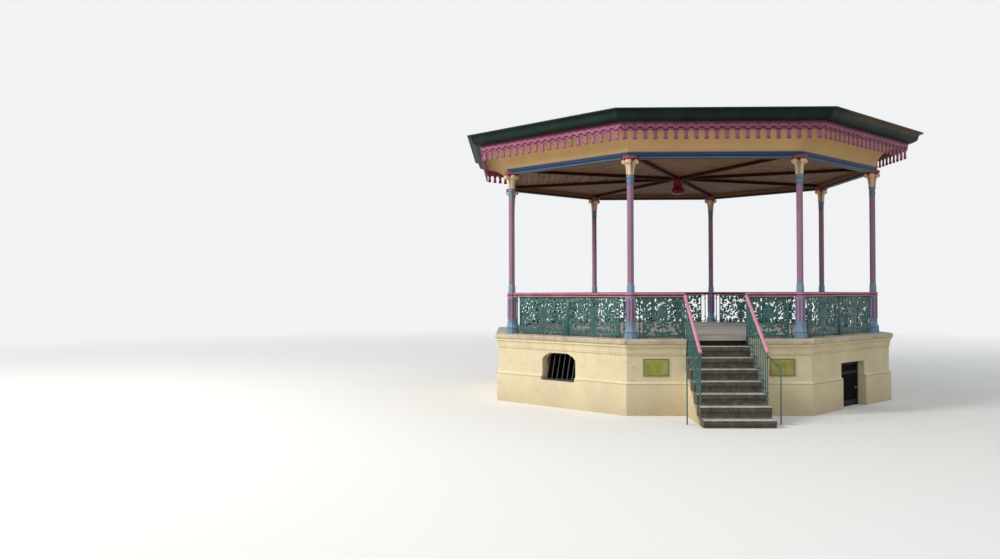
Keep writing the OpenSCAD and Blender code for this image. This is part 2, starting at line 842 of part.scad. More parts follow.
module wide_ornament(w, h) {
    for (m = [0, 1]) mirror([m, 0]) wide_half(w / 2, h);
    stroke([[0, 0], [0, h]], scroll_w, scroll_w);
    flower([0, 165], 132, 10);
    for (i = [-1:1]) leaf([0, 300], 90 + 28 * i, 190, spray_w);
}

// Narrow panel's ornament: two pairs of scrolls with a heart between them
module narrow_ornament(w, h) {
    low = 98;
    for (m = [0, 1]) mirror([m, 0]) {
        stem_scroll([0, 30], [60, -20], [w / 2 - low, 130], low - 4, -90, scroll_sweep);
        stem_scroll([0, 130], [110, 150], [w / 2 - low, h - 110], low - 4, 200, -scroll_sweep);
        for (z = [0, h]) leaf([w / 2, z], z > 0 ? 220 : 140, low, spray_w);
        for (a = [145, 180, 215]) leaf([w / 2, 0.52 * h], a, 84, spray_w);
        leaf([60, h], -84, 130, spray_w);
        // Half heart
        polygon(concat([[-1, 0.46 * h]], arc(46, 0.64 * h, 50, -50, 180, 6)));
    }
    stroke([[0, 0], [0, h]], scroll_w, scroll_w);
}

// One cast panel: flat frame and ornament, standing on z = 0 with its middle at x = 0
module railing_panel(w, wide) {
    h = rail_bottom_z - coping_top_z - panel_bottom - fit_gap;
    in_h = h - 2 * frame_bar;
    rotate([90, 0, 0])
        translate([0, 0, -panel_t / 2])
            linear_extrude(panel_t)
                offset(delta = eps)
                    union() {
                        difference() {
                            translate([-w / 2, 0]) square([w, h]);
                            translate([-w / 2 + frame_bar, frame_bar]) square([w - 2 * frame_bar, in_h]);
                        }
                        intersection() {
                            translate([-w / 2, 0]) square([w, h]);
                            translate([0, frame_bar])
                                if (wide) wide_ornament(w - 2 * frame_bar, in_h);
                                else narrow_ornament(w - 2 * frame_bar, in_h);
                        }
                    }
}

// Small block under a panel
module panel_foot() {
    translate([0, 0, fit_gap]) post([34, panel_t + 10, panel_bottom + 1 - fit_gap]);
}

middle_post_w = 36;
wide_panel_w = (side_l - 2 * panel_inset - middle_post_w) / 2 - 4;
post_h = rail_bottom_z - coping_top_z - 2 * fit_gap;

module railing_bay(side) {
    px = middle_post_w / 2 + 2 + wide_panel_w / 2;
    color("#41706b")
        on_side(side)
            translate([0, -column_line, coping_top_z]) {
                for (m = [-1, 1]) {
                    translate([m * px, 0, panel_bottom]) railing_panel(wide_panel_w, true);
                    for (f = [-0.42, 0, 0.42]) translate([m * px + f * wide_panel_w, 0, 0]) panel_foot();
                    translate([m * (side_l / 2 - side_bar_inset), 0, fit_gap]) turned_bar(post_h);
                    // Short ties between the side bar and the panel
                    for (z = [60, post_h - 30])
                        translate([m * (side_l / 2 - (side_bar_inset + panel_inset) / 2), 0, z])
                            post([panel_inset - side_bar_inset + 8, 10, 14]);
                    for (z = [60, post_h - 30])
                        translate([m * (middle_post_w / 2 + 2), 0, z]) post([8, 10, 14]);
                }
                translate([0, 0, fit_gap]) post([middle_post_w, middle_post_w, post_h]);
            }
}

stair_post_reach = stair_post_x + stair_post_w / 2;
narrow_panel_w = side_l / 2 - front_panel_inset - stair_post_reach - 7;
module railing_front(m) {
    px = m * (side_l / 2 - front_panel_inset - narrow_panel_w / 2);
    color("#41706b")
        translate([0, -column_line, coping_top_z]) {
            translate([px, 0, panel_bottom]) railing_panel(narrow_panel_w, false);
            for (f = [-0.4, 0.4]) translate([px + f * narrow_panel_w, 0, 0]) panel_foot();
            translate([m * (side_l / 2 - side_bar_inset), 0, fit_gap]) turned_bar(post_h);
            for (z = [60, post_h - 30]) {
                translate([m * (side_l / 2 - (side_bar_inset + front_panel_inset) / 2), 0, z])
                    post([front_panel_inset - side_bar_inset + 8, 10, 14]);
                translate([m * (stair_post_reach + 1), 0, z]) post([20, 10, 14]);
            }
            // The end post stands on the top step, in the gap that the stair makes in the coping
            translate([m * stair_post_x, 0, step_top_z(1) - coping_top_z + fit_gap])
                post([stair_post_w, stair_post_w, post_h + coping_top_z - step_top_z(1)]);
        }
}
module railing_front_left() railing_front(-1);
module railing_front_right() railing_front(1);

// Moulded handrail section of [distance from the centre, height] points
function rail_section() = let (w = rail_w / 2, z0 = rail_bottom_z, z1 = rail_top_z) [
    [column_line - w + 8, z0], [column_line + w - 8, z0], [column_line + w - 4, z0 + 16],
    [column_line + w - 12, z0 + 24], [column_line + w - 12, z0 + 40], [column_line + w, z0 + 46],
    [column_line + w, z1 - 8], [column_line + w - 12, z1],
    [column_line - w + 12, z1], [column_line - w, z1 - 8], [column_line - w, z0 + 46],
    [column_line - w + 12, z0 + 40], [column_line - w + 12, z0 + 24], [column_line - w + 4, z0 + 16]
];

module handrails() {
    color("#d78ca5")
        difference() {
            for (side = [0:sides - 1]) ring_side(side, rail_section());
            for (corner = [0:sides - 1])
                at_corner(corner)
                    translate([0, 0, rail_bottom_z - 1])
                        oct_prism(pedestal_af + 12 + 2 * fit_gap, rail_h + 2);
            translate([0, -column_line, rail_bottom_z - 1])
                post([2 * stair_post_x - stair_post_w, 2 * rail_w, rail_h + 2]);
        }
}

// Eaves

// The beam's fascia runs over the blocks, and its lower band runs between them
module ring_beam() {
    upper = [[beam_in, block_top_z], [beam_out - 8, block_top_z], [beam_out, block_top_z + 8],
             [beam_out, beam_top_z - 14], [beam_out + 10, beam_top_z - 8], [beam_out + 10, beam_top_z],
             [beam_in, beam_top_z]];
    lower = [[beam_in + 12, beam_band_z], [beam_out - 30, beam_band_z], [beam_out - 26, beam_band_z + 18],
             [beam_out - 12, beam_band_z + 24], [beam_out - 12, block_top_z + 0.5],
             [beam_in + 12, block_top_z + 0.5]];
    band_l = side_l - 2 * (block_af / 2 / cos_half + fit_gap);
    color("#3f66a0")
        for (side = [0:sides - 1]) {
            ring_side(side, upper, joint_t);
            on_side(side) front_run(lower, band_l);
        }
}

// Concave boarding from the beam out to the valance
cove_t = 18;
function cove_point(t) = let (
    d0 = beam_out - 6, d1 = valance_in - fit_gap, z0 = beam_top_z, z1 = valance_top_z - 30
) [d0 + (d1 - d0) * (1 - cos(90 * t)), z0 + (z1 - z0) * sin(90 * t)];

module cove() {
    n = 10;
    face = [for (i = [0:n]) cove_point(i / n)];
    back = [for (i = [n:-1:1]) face[i] + [i == n ? 0 : -0.6 * cove_t, cove_t]];
    color("#dcc9a0")
        for (side = [0:sides - 1])
            ring_side(side, concat([[face[0][0] - cove_t, beam_top_z]], face, back), joint_t);
}

// Left half of one pendant, from the crown of the opening beside it down to its flat foot
valance_pitch = 2 * valance_out * tan_half / pendants;
function pendant_half() = [
    [-0.5 * valance_pitch, 161],
    [-0.3 * valance_pitch, 147],
    [-0.19 * valance_pitch, 115],
    [-0.18 * valance_pitch, 66],
    [-0.31 * valance_pitch, 44],
    [-0.31 * valance_pitch, 13],
    [-0.16 * valance_pitch, 0]
];
module valance_face() {
    l = valance_pitch * pendants;
    top = gutter_h - 60 + valance_h;
    half = pendant_half();
    last = len(half) - 1;
    lower = [for (i = [0:pendants - 1]) let (x = -l / 2 + (i + 0.5) * valance_pitch) each concat(
        [for (p = half) [x + p[0], p[1]]],
        [for (k = [last:-1:1]) [x - half[k][0], half[k][1]]])];
    difference() {
        polygon(concat(lower, [[l / 2, half[0][1]], [l / 2, top], [-l / 2, top]]));
        for (i = [0:pendants - 1])
            translate([-l / 2 + (i + 0.5) * valance_pitch, 25]) circle(r = pendant_hole_r, $fn = 24);
    }
}

module valance() {
    color("#b4668f")
        for (side = [0:sides - 1])
            on_side(side)
                intersection() {
                    translate([0, -valance_in, valance_bottom_z])
                        rotate([90, 0, 0])
                            linear_extrude(valance_t)
                                valance_face();
                    side_wedge(joint_t);
                }
}

// Ogee gutter with an open trough, its back against the head of the valance
function gutter_section() = let (
    f = valance_out + gutter_foot, o = valance_out + gutter_reach, b = valance_out + fit_gap,
    z0 = valance_top_z, z1 = gutter_top_z, w = gutter_wall,
    ogee = [for (i = [0:8]) let (t = i / 8)
        [f + (o - 8 - f) * (t + 0.11 * sin(360 * t)), z0 + 10 + (z1 - z0 - 34) * (t - 0.11 * sin(360 * t))]]
) concat(
    [[b, z0], [f, z0]], ogee,
    [[o - 8, z1 - 20], [o, z1 - 16], [o, z1], [o - 14, z1]],
    [for (i = [8:-1:0]) ogee[i] + [-w, w * 0.6]],
    [[b + w, z0 + w], [b + w, z1 - 70], [b, z1 - 70]]
);

module gutter() {
    color("#1f3a33")
        for (side = [0:sides - 1]) ring_side(side, gutter_section(), joint_t);
}

// Roof and ceiling

module ceiling() {
    color("#8a6f57")
        translate([0, 0, beam_top_z + seat_gap])
            oct_prism(2 * (beam_out - 40), ceiling_t);
}

// Ribs under the ceiling, from the ring beam in to the boss
boss_plate_r = 125;
module ceiling_ribs() {
    rib_in = boss_plate_r / cos_half + fit_gap;
    rib_out = column_ring_r - leaf_reach - 16;
    color("#4a1620")
        for (corner = [0:sides - 1])
            at_corner(corner)
                translate([-rib_w / 2, column_ring_r - rib_out, beam_top_z - rib_h])
                    cube([rib_w, rib_out - rib_in, rib_h]);
}

// Turned boss under the middle of the ceiling: plate, neck and drop
module ceiling_boss() {
    neck_r = boss_r - 46;
    z = -boss_h;
    color("#6a1c34")
        translate([0, 0, beam_top_z])
            oct_turning([
                [0, 0], [boss_plate_r, 0], [boss_plate_r, -rib_h - 6], [neck_r + 8, -rib_h - 30],
                [neck_r, z / 2 + 46], [neck_r, z + 137], [neck_r + 20, z + 112], [boss_r, z + 90],
                [boss_r, z + 66], [boss_r - 10, z + 52], [boss_r - 33, z + 7], [0, z]]);
}

// Shallow roof of eight slopes under a raised cap
roof_cap_h = 40;
module roof() {
    rise = tan(roof_pitch);
    edge = valance_out + 30;
    cap_z = eave_z + roof_t + (edge - roof_cap_r) * rise;
    color("#7d8286")
        oct_turning([
            [edge, eave_z], [edge, eave_z + roof_t], [roof_cap_r, cap_z], [roof_cap_r, cap_z + roof_cap_h],
            [0, cap_z + 1.5 * roof_cap_h], [0, eave_z + edge * rise]]);
}

module column_1() column(0);
module column_2() column(1);
module column_3() column(2);
module column_4() column(3);
module column_5() column(4);
module column_6() column(5);
module column_7() column(6);
module column_8() column(7);

plinth_front_walls();
plinth_door_piers();
plinth_door_lintel();
plinth_right_wall();
plinth_back_right_wall();
plinth_back_wall();
plinth_back_left_wall();
plinth_left_wall();
plinth_vent_wall();
coping();
platform_floor();
plaques();
vent_grille();
door_frame();
store_door();
door_knob();
stair_base();
stair_steps();
stair_bars_left();
stair_bars_right();
stair_handrails();
stair_stays();
column_1();
column_2();
column_3();
column_4();
column_5();
column_6();
column_7();
column_8();
railing_front_left();
railing_front_right();
railing_bay(1);  // railing_1
railing_bay(2);  // railing_2
railing_bay(3);  // railing_3
railing_bay(4);  // railing_4
railing_bay(5);  // railing_5
railing_bay(6);  // railing_6
railing_bay(7);  // railing_7
handrails();
ring_beam();
cove();
valance();
gutter();
ceiling();
ceiling_ribs();
ceiling_boss();
roof();
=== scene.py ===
"""Octagonal bandstand: finishes, cast ornament, fretwork, light and camera.

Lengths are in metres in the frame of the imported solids: the ground is z = 0, the middle of the octagon is the
origin and the stair faces -Y. Side k is the front side turned by 45 k degrees about the middle.
"""
import math
import bpy
import numpy as np
from mathutils import Matrix, Vector


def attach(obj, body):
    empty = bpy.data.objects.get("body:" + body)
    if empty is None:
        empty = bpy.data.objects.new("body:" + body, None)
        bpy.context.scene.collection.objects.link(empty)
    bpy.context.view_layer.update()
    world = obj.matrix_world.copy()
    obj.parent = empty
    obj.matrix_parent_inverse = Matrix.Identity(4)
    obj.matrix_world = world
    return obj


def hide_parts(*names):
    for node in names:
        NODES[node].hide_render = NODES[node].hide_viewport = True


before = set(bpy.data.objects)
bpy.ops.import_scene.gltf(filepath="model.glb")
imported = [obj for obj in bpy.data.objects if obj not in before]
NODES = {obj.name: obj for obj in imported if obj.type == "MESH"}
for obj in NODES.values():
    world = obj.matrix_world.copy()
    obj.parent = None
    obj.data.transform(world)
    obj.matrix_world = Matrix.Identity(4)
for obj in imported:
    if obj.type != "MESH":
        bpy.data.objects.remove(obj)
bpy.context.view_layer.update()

# Plan and levels, as in the solids
EIGHTH = math.pi / 4
HALF = math.pi / 8
RING = 3.8
COLUMN_LINE = RING * math.cos(HALF)
SIDE = 2 * COLUMN_LINE * math.tan(HALF)
WALL = COLUMN_LINE + 0.254
COPING_TOP = 1.290
FLOOR_TOP = 1.336
FLOOR_EDGE = COLUMN_LINE - 0.072
RAIL_UNDER = COPING_TOP + 0.715
CAPITAL_TOP = COPING_TOP + 3.097
CAPITAL_H = 0.275
BLOCK_TOP = CAPITAL_TOP + 0.055
VALANCE_OUT = COLUMN_LINE + 0.596
VALANCE_T = 0.025
VALANCE_Z = COPING_TOP + 3.344
VALANCE_TOP = VALANCE_Z + 0.296
PENDANTS = 20
PITCH = 2 * VALANCE_OUT * math.tan(HALF) / PENDANTS
GUTTER_TOP = VALANCE_TOP + 0.184
ROOF_EDGE = VALANCE_OUT + 0.030
ROOF_SLOPE = math.tan(math.radians(9))
RISER = 0.1735
GOING = 0.250
STAIR_POST = 0.541
PANEL_INSET = 0.240
FRONT_INSET = 0.202
SIDE_BAR = 0.150
PANEL_FOOT = 0.036
FRAME_BAR = 0.026
MIDDLE_POST = 0.036
CLEAR = 0.0003
BAY_FOOT = COPING_TOP + CLEAR
POST_H = RAIL_UNDER - COPING_TOP - 2 * CLEAR
DOOR_W = 0.930
DOOR_FACE = WALL - 0.118
UNDERCROFT = 0.150
BASE_NOSE = 0.542
PLAQUE_X, PLAQUE_Z, PLAQUE_W, PLAQUE_H = 1.065, 0.812, 0.430, 0.296

# Cast and cut work that only this script shows
BOARD_STEP = 0.006
HOLE_Z, HOLE_R = 0.0245, 0.0125
SEAM_SPACING = 0.60


# Surfaces

def quads(m, n, loop_u=False, loop_v=False):
    """Corner numbers of the cells of an m by n grid of points; a looped direction joins its last row to its
    first."""
    i, j = np.meshgrid(np.arange(m if loop_u else m - 1), np.arange(n if loop_v else n - 1), indexing="ij")
    i1, j1 = (i + 1) % m, (j + 1) % n
    return np.stack([i * n + j, i1 * n + j, i1 * n + j1, i * n + j1], -1).reshape(-1, 4)


def tube(points):
    """Closed surface from an (m, n, 3) array: row after row of a looped section, with each end closed by a
    fan to its middle."""
    m, n = points.shape[:2]
    mids = np.stack([points[0].mean(0), points[-1].mean(0)])
    j = np.arange(n)
    j1 = (j + 1) % n
    start = np.stack([np.full(n, m * n), j1, j], -1)
    end = np.stack([np.full(n, m * n + 1), (m - 1) * n + j, (m - 1) * n + j1], -1)
    return np.vstack([points.reshape(-1, 3), mids]), [quads(m, n, False, True), start, end]


def ring(points):
    """Closed surface from an (m, n, 3) array whose rows and columns both loop, like a tyre."""
    m, n = points.shape[:2]
    return points.reshape(-1, 3), [quads(m, n, True, True)]


def facing_out(points, faces):
    """Turns every face round if the volume that the surface bounds comes out negative."""
    volume = 0.0
    for f in faces:
        a, b, c = points[f[:, 0]], points[f[:, 1]], points[f[:, 2]]
        volume += np.einsum("ij,ij->", a, np.cross(b, c))
        if f.shape[1] == 4:
            volume += np.einsum("ij,ij->", a, np.cross(c, points[f[:, 3]]))
    return faces if volume > 0 else [f[:, ::-1] for f in faces]


def turn(points, angle):
    """The points turned about the vertical axis through the middle."""
    c, s = math.cos(angle), math.sin(angle)
    x, y, z = points[..., 0], points[..., 1], points[..., 2]
    return np.stack([c * x - s * y, s * x + c * y, z], -1)


def shifted(parts, shift):
    """Surfaces moved by a shift in x, y and z."""
    return [(points + np.array(shift), faces, material) for points, faces, material in parts]


def on_side(parts, k):
    """Surfaces drawn at the front, carried round to side k."""
    return [(turn(points, k * EIGHTH), faces, material) for points, faces, material in parts]


def all_round(parts, sides=range(8)):
    """Surfaces drawn at the front, repeated on several sides."""
    return [part for k in sides for part in on_side(parts, k)]


def piece(name, parts, body="structure", replaces=(), crease=35):
    """One mesh object from several closed surfaces, each (points, faces, material)."""
    verts, loops, sizes, numbers, materials = [], [], [], [], []
    base = 0
    for points, faces, material in parts:
        if material not in materials:
            materials.append(material)
        for f in facing_out(points, faces):
            loops.append((f + base).ravel())
            sizes.append(np.full(len(f), f.shape[1]))
            numbers.append(np.full(len(f), materials.index(material)))
        verts.append(points)
        base += len(points)
    verts, loops, sizes = np.vstack(verts), np.concatenate(loops), np.concatenate(sizes)
    mesh = bpy.data.meshes.new(name)
    mesh.vertices.add(len(verts))
    mesh.vertices.foreach_set("co", verts.astype(np.float32).ravel())
    mesh.loops.add(len(loops))
    mesh.loops.foreach_set("vertex_index", loops.astype(np.int32))
    mesh.polygons.add(len(sizes))
    mesh.polygons.foreach_set("loop_start", np.concatenate([[0], np.cumsum(sizes)[:-1]]).astype(np.int32))
    for material in materials:
        mesh.materials.append(material)
    mesh.polygons.foreach_set("material_index", np.concatenate(numbers).astype(np.int32))
    mesh.update(calc_edges=True)
    mesh.validate()
    mesh.polygons.foreach_set("use_smooth", np.ones(len(mesh.polygons), bool))
    mesh.set_sharp_from_angle(angle=math.radians(crease))
    obj = bpy.data.objects.new(name, mesh)
    bpy.context.scene.collection.objects.link(obj)
    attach(obj, body)
    if replaces:
        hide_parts(*replaces)


def circle(n):
    """Angles of n points spread evenly round a circle."""
    return np.arange(n) * 2 * math.pi / n


def block(lo, hi, bevel=0.002):
    """A box whose section is an octagon: a rectangle with its four long edges taken off, carried up in z and
    drawn in at both ends."""
    (x0, y0, z0), (x1, y1, z1) = lo, hi
    b = min(bevel, 0.3 * (x1 - x0), 0.3 * (y1 - y0), 0.3 * (z1 - z0))

    def loop(inset):
        xa, xb, ya, yb = x0 + inset, x1 - inset, y0 + inset, y1 - inset
        return np.array([[xa + b, ya], [xb - b, ya], [xb, ya + b], [xb, yb - b],
                         [xb - b, yb], [xa + b, yb], [xa, yb - b], [xa, ya + b]])

    rows = [(b, z0), (0, z0 + b), (0, z1 - b), (b, z1)]
    return tube(np.stack([np.column_stack([loop(i), np.full(8, z)]) for i, z in rows]))


def turned_bar(profile, sides=12, phase=0.0):
    """A profile of (radius, height) rows turned about the vertical axis."""
    profile = np.asarray(profile, float)
    a = phase + circle(sides)
    r, z = profile[:, :1], profile[:, 1:]
    return tube(np.stack([r * np.cos(a), r * np.sin(a), z + 0 * a], -1))


def octagon(profile):
    """A profile of (half width across flats, height) rows on an octagon with a flat towards -Y."""
    profile = np.array(profile, float)
    profile[:, 0] /= math.cos(HALF)
    return turned_bar(profile, 8, HALF)


def octagon_ring(profile):
    """A closed profile of (distance from the middle, height) points carried round eight mitred corners."""
    profile = np.asarray(profile, float)
    a = HALF + circle(8)[:, None]
    r = profile[None, :, 0] / math.cos(HALF)
    return ring(np.stack([r * np.cos(a), r * np.sin(a), profile[None, :, 1] + 0 * a], -1))


def along(path):
    """Unit directions of a plane path from central differences, and the normals to their left."""
    d = np.gradient(path, axis=0)
    d /= np.maximum(np.linalg.norm(d, axis=1, keepdims=True), 1e-9)
    return d, np.column_stack([-d[:, 1], d[:, 0]])


def cast_strip(path, width, depth, sides=6):
    """A flattened tube on a plane path: each section point lies half the width times a cosine across the
    path, and half the depth times a sine out of the plane."""
    path = np.asarray(path, float)
    _, normal = along(path)
    w = np.broadcast_to(np.asarray(width, float), len(path))[:, None, None] / 2
    d = np.broadcast_to(np.asarray(depth, float), len(path))[:, None] / 2
    a = circle(sides)
    plane = path[:, None, :] + w * np.cos(a)[None, :, None] * normal[:, None, :]
    return tube(np.stack([plane[..., 0], -d * np.sin(a)[None, :], plane[..., 1]], -1))


def round_tube(path, radius, sides):
    """A tube on a path in space; each section is a circle in the plane across the path."""
    d = np.gradient(path, axis=0)
    d /= np.linalg.norm(d, axis=1, keepdims=True)
    u = np.cross(d, (0.0, 1.0, 0.0))
    u /= np.linalg.norm(u, axis=1, keepdims=True)
    v = np.cross(d, u)
    a = circle(sides)[None, :, None]
    return tube(path[:, None, :] + radius * (np.cos(a) * u[:, None, :] + np.sin(a) * v[:, None, :]))


def polar(centre, radius, degrees):
    """The point, or the points, at a radius and an angle round a centre."""
    a = np.radians(degrees)
    return np.stack([centre[0] + radius * np.cos(a), centre[1] + radius * np.sin(a)], -1)


def spiral(centre, r0, r1, a0, a1, n):
    """Points whose radius goes from r0 to r1 while the angle goes from a0 to a1 degrees."""
    t = np.linspace(0, 1, n)
    return polar(centre, r0 + (r1 - r0) * t, a0 + (a1 - a0) * t)


def bend(a, b, c, d, n=12):
    """Points of a smooth curve from a to d that leaves towards b and arrives from c."""
    t = np.linspace(0, 1, n)[:, None]
    u = 1 - t
    a, b, c, d = (np.asarray(p, float) for p in (a, b, c, d))
    return a * u ** 3 + 3 * b * u * u * t + 3 * c * u * t * t + d * t ** 3


# Shader groups

def colour(r, g, b):
    """A colour given by its screen values from 0 to 255, as linear light."""
    def light(c):
        c = c / 255
        return c / 12.92 if c <= 0.04045 else ((c + 0.055) / 1.055) ** 2.4
    return (light(r), light(g), light(b), 1.0)


class Tree:
    """Short forms for placing and joining shader nodes in one node tree."""

    def __init__(self, tree):
        self.tree = tree

    def put(self, value, socket):
        """Joins another node's output to a socket, or sets its value; three numbers are a screen colour."""
        if hasattr(value, "is_output"):
            self.tree.links.new(value, socket)
        elif isinstance(value, tuple) and len(value) == 3:
            socket.default_value = colour(*value)
        else:
            socket.default_value = value

    def node(self, kind, *values, named=None, **settings):
        """A new node with its settings, its first inputs and its named inputs."""
        n = self.tree.nodes.new("ShaderNode" + kind)
        for setting, value in settings.items():
            setattr(n, setting, value)
        for i, value in enumerate(values):
            self.put(value, n.inputs[i])
        for label, value in (named or {}).items():
            self.put(value, n.inputs[label])
        return n

    def math(self, op, *values):
        return self.node("Math", *values, operation=op).outputs[0]

    def plus(self, a, b):
        return self.math("ADD", a, b)

    def minus(self, a, b):
        return self.math("SUBTRACT", a, b)

    def times(self, a, b):
        return self.math("MULTIPLY", a, b)

    def span(self, value, a, b, c=0.0, d=1.0):
        """The value's place between a and b, carried to c and d and kept between them."""
        return self.node("MapRange", value, a, b, c, d).outputs[0]

    def band(self, value, a0, a1, b1, b0):
        """1 from a1 to b1, falling to 0 at a0 and at b0."""
        return self.times(self.span(value, a0, a1), self.span(value, b1, b0, 1.0, 0.0))

    def split(self, vector):
        return self.node("SeparateXYZ", vector).outputs

    def join(self, x, y, z):
        return self.node("CombineXYZ", x, y, z).outputs[0]

    def noise(self, vector, scale, detail=4.0, rough=0.55, distort=0.0):
        """Cloudy noise from about 0.2 to 0.8."""
        named = {"Vector": vector, "Scale": scale, "Detail": detail, "Roughness": rough,
                 "Distortion": distort}
        return self.node("TexNoise", named=named).outputs["Fac"]

    def blend(self, factor, a, b, mode="MIX"):
        """The colour that goes from a to b as the factor goes from 0 to 1."""
        n = self.node("Mix", data_type="RGBA", blend_type=mode, clamp_factor=True)
        for i, value in ((0, factor), (6, a), (7, b)):
            self.put(value, n.inputs[i])
        return n.outputs[2]

    def coats(self, shade, *layers):
        """A colour under further coats, each (mask, colour)."""
        for mask, over in layers:
            shade = self.blend(mask, shade, over)
        return shade

    def toned(self, shade, tone):
        """A colour made darker or lighter by one number."""
        return self.blend(1.0, shade, self.join(tone, tone, tone), "MULTIPLY")

    def place(self, group, **values):
        """The outputs of a node group that is placed with these inputs."""
        return self.node("Group", node_tree=group, named=values).outputs


def new_group(name, inputs, outputs):
    """A shader node group: its short forms, the sockets that it is given and those that it fills. Inputs are
    numbers with a default, or places where the default is None; outputs are numbers."""
    g = bpy.data.node_groups.new(name, "ShaderNodeTree")
    for label, value in inputs.items():
        kind = "NodeSocketVector" if value is None else "NodeSocketFloat"
        socket = g.interface.new_socket(label, in_out="INPUT", socket_type=kind)
        if value is not None:
            socket.default_value = value
    for label in outputs:
        g.interface.new_socket(label, in_out="OUTPUT", socket_type="NodeSocketFloat")
    return Tree(g), g.nodes.new("NodeGroupInput").outputs, g.nodes.new("NodeGroupOutput").inputs


def make_side_group():
    """Where a point lies on its own side of the octagon: distance along the side, distance out from the
    middle, height, and the side's number. The side is the nearest multiple of 45 degrees to the point's
    direction."""
    t, given, filled = new_group("Octagon side", {"Position": None}, ("Along", "Out", "Height", "Side"))
    x, y, z = t.split(given["Position"])
    side = t.math("ROUND", t.math("DIVIDE", t.math("ARCTAN2", x, t.times(y, -1.0)), EIGHTH))
    turned = t.times(side, EIGHTH)
    c, s = t.math("COSINE", turned), t.math("SINE", turned)
    t.put(t.plus(t.times(x, c), t.times(y, s)), filled["Along"])
    t.put(t.minus(t.times(x, s), t.times(y, c)), filled["Out"])
    t.put(z, filled["Height"])
    t.put(side, filled["Side"])
    return t.tree


def make_board_group():
    """Boards of one width side by side: a narrow dark line where two meet, a number from 0 to 1 for each
    board, and grain that streaks along the boards."""
    inputs = {"Across": 0.0, "Length": 0.0, "Seed": 0.0, "Width": 0.1, "Slit": 0.004}
    t, given, filled = new_group("Boards", inputs, ("Joint", "Board", "Grain"))
    across, slit, seed = given["Across"], given["Slit"], given["Seed"]
    cell = t.math("DIVIDE", across, given["Width"])
    number = t.math("FLOOR", cell)
    edge = t.times(t.math("PINGPONG", cell, 0.5), given["Width"])
    t.put(t.span(edge, t.times(slit, 0.5), t.times(slit, 1.4), 1.0, 0.0), filled["Joint"])
    board = t.node("TexWhiteNoise", t.join(number, seed, 0.0), noise_dimensions="3D")
    t.put(board.outputs["Value"], filled["Board"])
    streak = t.join(t.times(across, 60.0), t.times(given["Length"], 2.2), t.plus(t.times(number, 7.3), seed))
    t.put(t.noise(streak, 1.0, 5.0, 0.6, 0.4), filled["Grain"])
    return t.tree


def make_grime_group():
    """Dirt that gathers low down, streaks downwards and lies in broad patches. Low and High are the heights
    between which the splash from the ground fades; by default there is none."""
    t, given, filled = new_group("Grime", {"Position": None, "Low": -1.0, "High": 0.0, "Patches": 1.2},
                                 ("Splash", "Streaks", "Cloud", "Fine"))
    place = given["Position"]
    x, y, z = t.split(place)
    cloud = t.noise(place, given["Patches"], 5.0, 0.6)
    fine = t.noise(place, 38.0, 5.0, 0.65)
    uneven = t.plus(z, t.times(t.minus(cloud, 0.5), 0.22))
    low = t.span(uneven, given["Low"], given["High"], 1.0, 0.0)
    t.put(t.times(low, t.span(fine, 0.3, 0.7, 0.45, 1.0)), filled["Splash"])
    streak = t.noise(t.join(t.times(x, 16.0), t.times(y, 16.0), t.times(z, 1.1)), 1.0, 4.0, 0.6)
    t.put(t.span(streak, 0.52, 0.78, 0.0, 1.0), filled["Streaks"])
    t.put(cloud, filled["Cloud"])
    t.put(fine, filled["Fine"])
    return t.tree


SIDE_PLACE = make_side_group()
BOARDS = make_board_group()
GRIME = make_grime_group()


class Finish(Tree):
    """A material with its Principled shader, the place of the shaded point and short forms that read it."""

    def __init__(self, name, rgb, rough, metal=0.0, specular=0.4):
        self.material = bpy.data.materials.new(name)
        self.material.use_nodes = True
        super().__init__(self.material.node_tree)
        self.tree.nodes.clear()
        self.base = colour(*rgb)
        self.material.diffuse_color = self.base
        fixed = {"Base Color": self.base, "Roughness": rough, "Metallic": metal,
                 "Specular IOR Level": specular}
        principled = self.node("BsdfPrincipled", named=fixed)
        self.shader = principled.inputs
        self.node("OutputMaterial", principled.outputs[0])
        self.pos = self.node("TexCoord").outputs["Object"]

    def side(self):
        """The shaded point's place on its side of the octagon."""
        return self.place(SIDE_PLACE, Position=self.pos)

    def grime(self, **values):
        """Dirt at the shaded point."""
        return self.place(GRIME, Position=self.pos, **values)

    def speckle(self, scale, detail, rough, *span):
        """Noise at the shaded point, carried over a span."""
        return self.span(self.noise(self.pos, scale, detail, rough), *span)

    def done(self, shade, relief=None, strength=0.3, distance=0.004):
        """Puts the colour and the relief on the shader and gives the material."""
        self.put(shade, self.shader["Base Color"])
        if relief is not None:
            bump = self.node("Bump", named={"Height": relief, "Strength": strength, "Distance": distance})
            self.put(bump.outputs[0], self.shader["Normal"])
        return self.material


# Finishes

def paint(name, rgb, dark=0.8, light=1.12, rough=0.42, wear_and_glint=None, wear_and_glint_at=0.72, relief=0.12, specular=0.4):
    """Gloss paint over metal or wood: broad fading, fine brush texture, and spots of a second colour: flaking
    or rust on some finishes, painted glints of light on the teal castings."""
    t = Finish(name, rgb, rough, specular=specular)
    shade = t.toned(t.base, t.span(t.grime(Patches=2.6)["Cloud"], 0.3, 0.7, dark, light))
    fine = t.noise(t.pos, 90.0, 3.0, 0.6)
    if wear_and_glint:
        chips_and_glints = t.speckle(21.0, 6.0, 0.72, wear_and_glint_at, wear_and_glint_at + 0.05)
        shade = t.blend(chips_and_glints, shade, wear_and_glint)
        t.put(t.span(chips_and_glints, 0.0, 1.0, rough, 0.85), t.shader["Roughness"])
    else:
        t.put(t.span(fine, 0.3, 0.7, rough - 0.07, rough + 0.12), t.shader["Roughness"])
    return t.done(shade, fine, relief, 0.002)


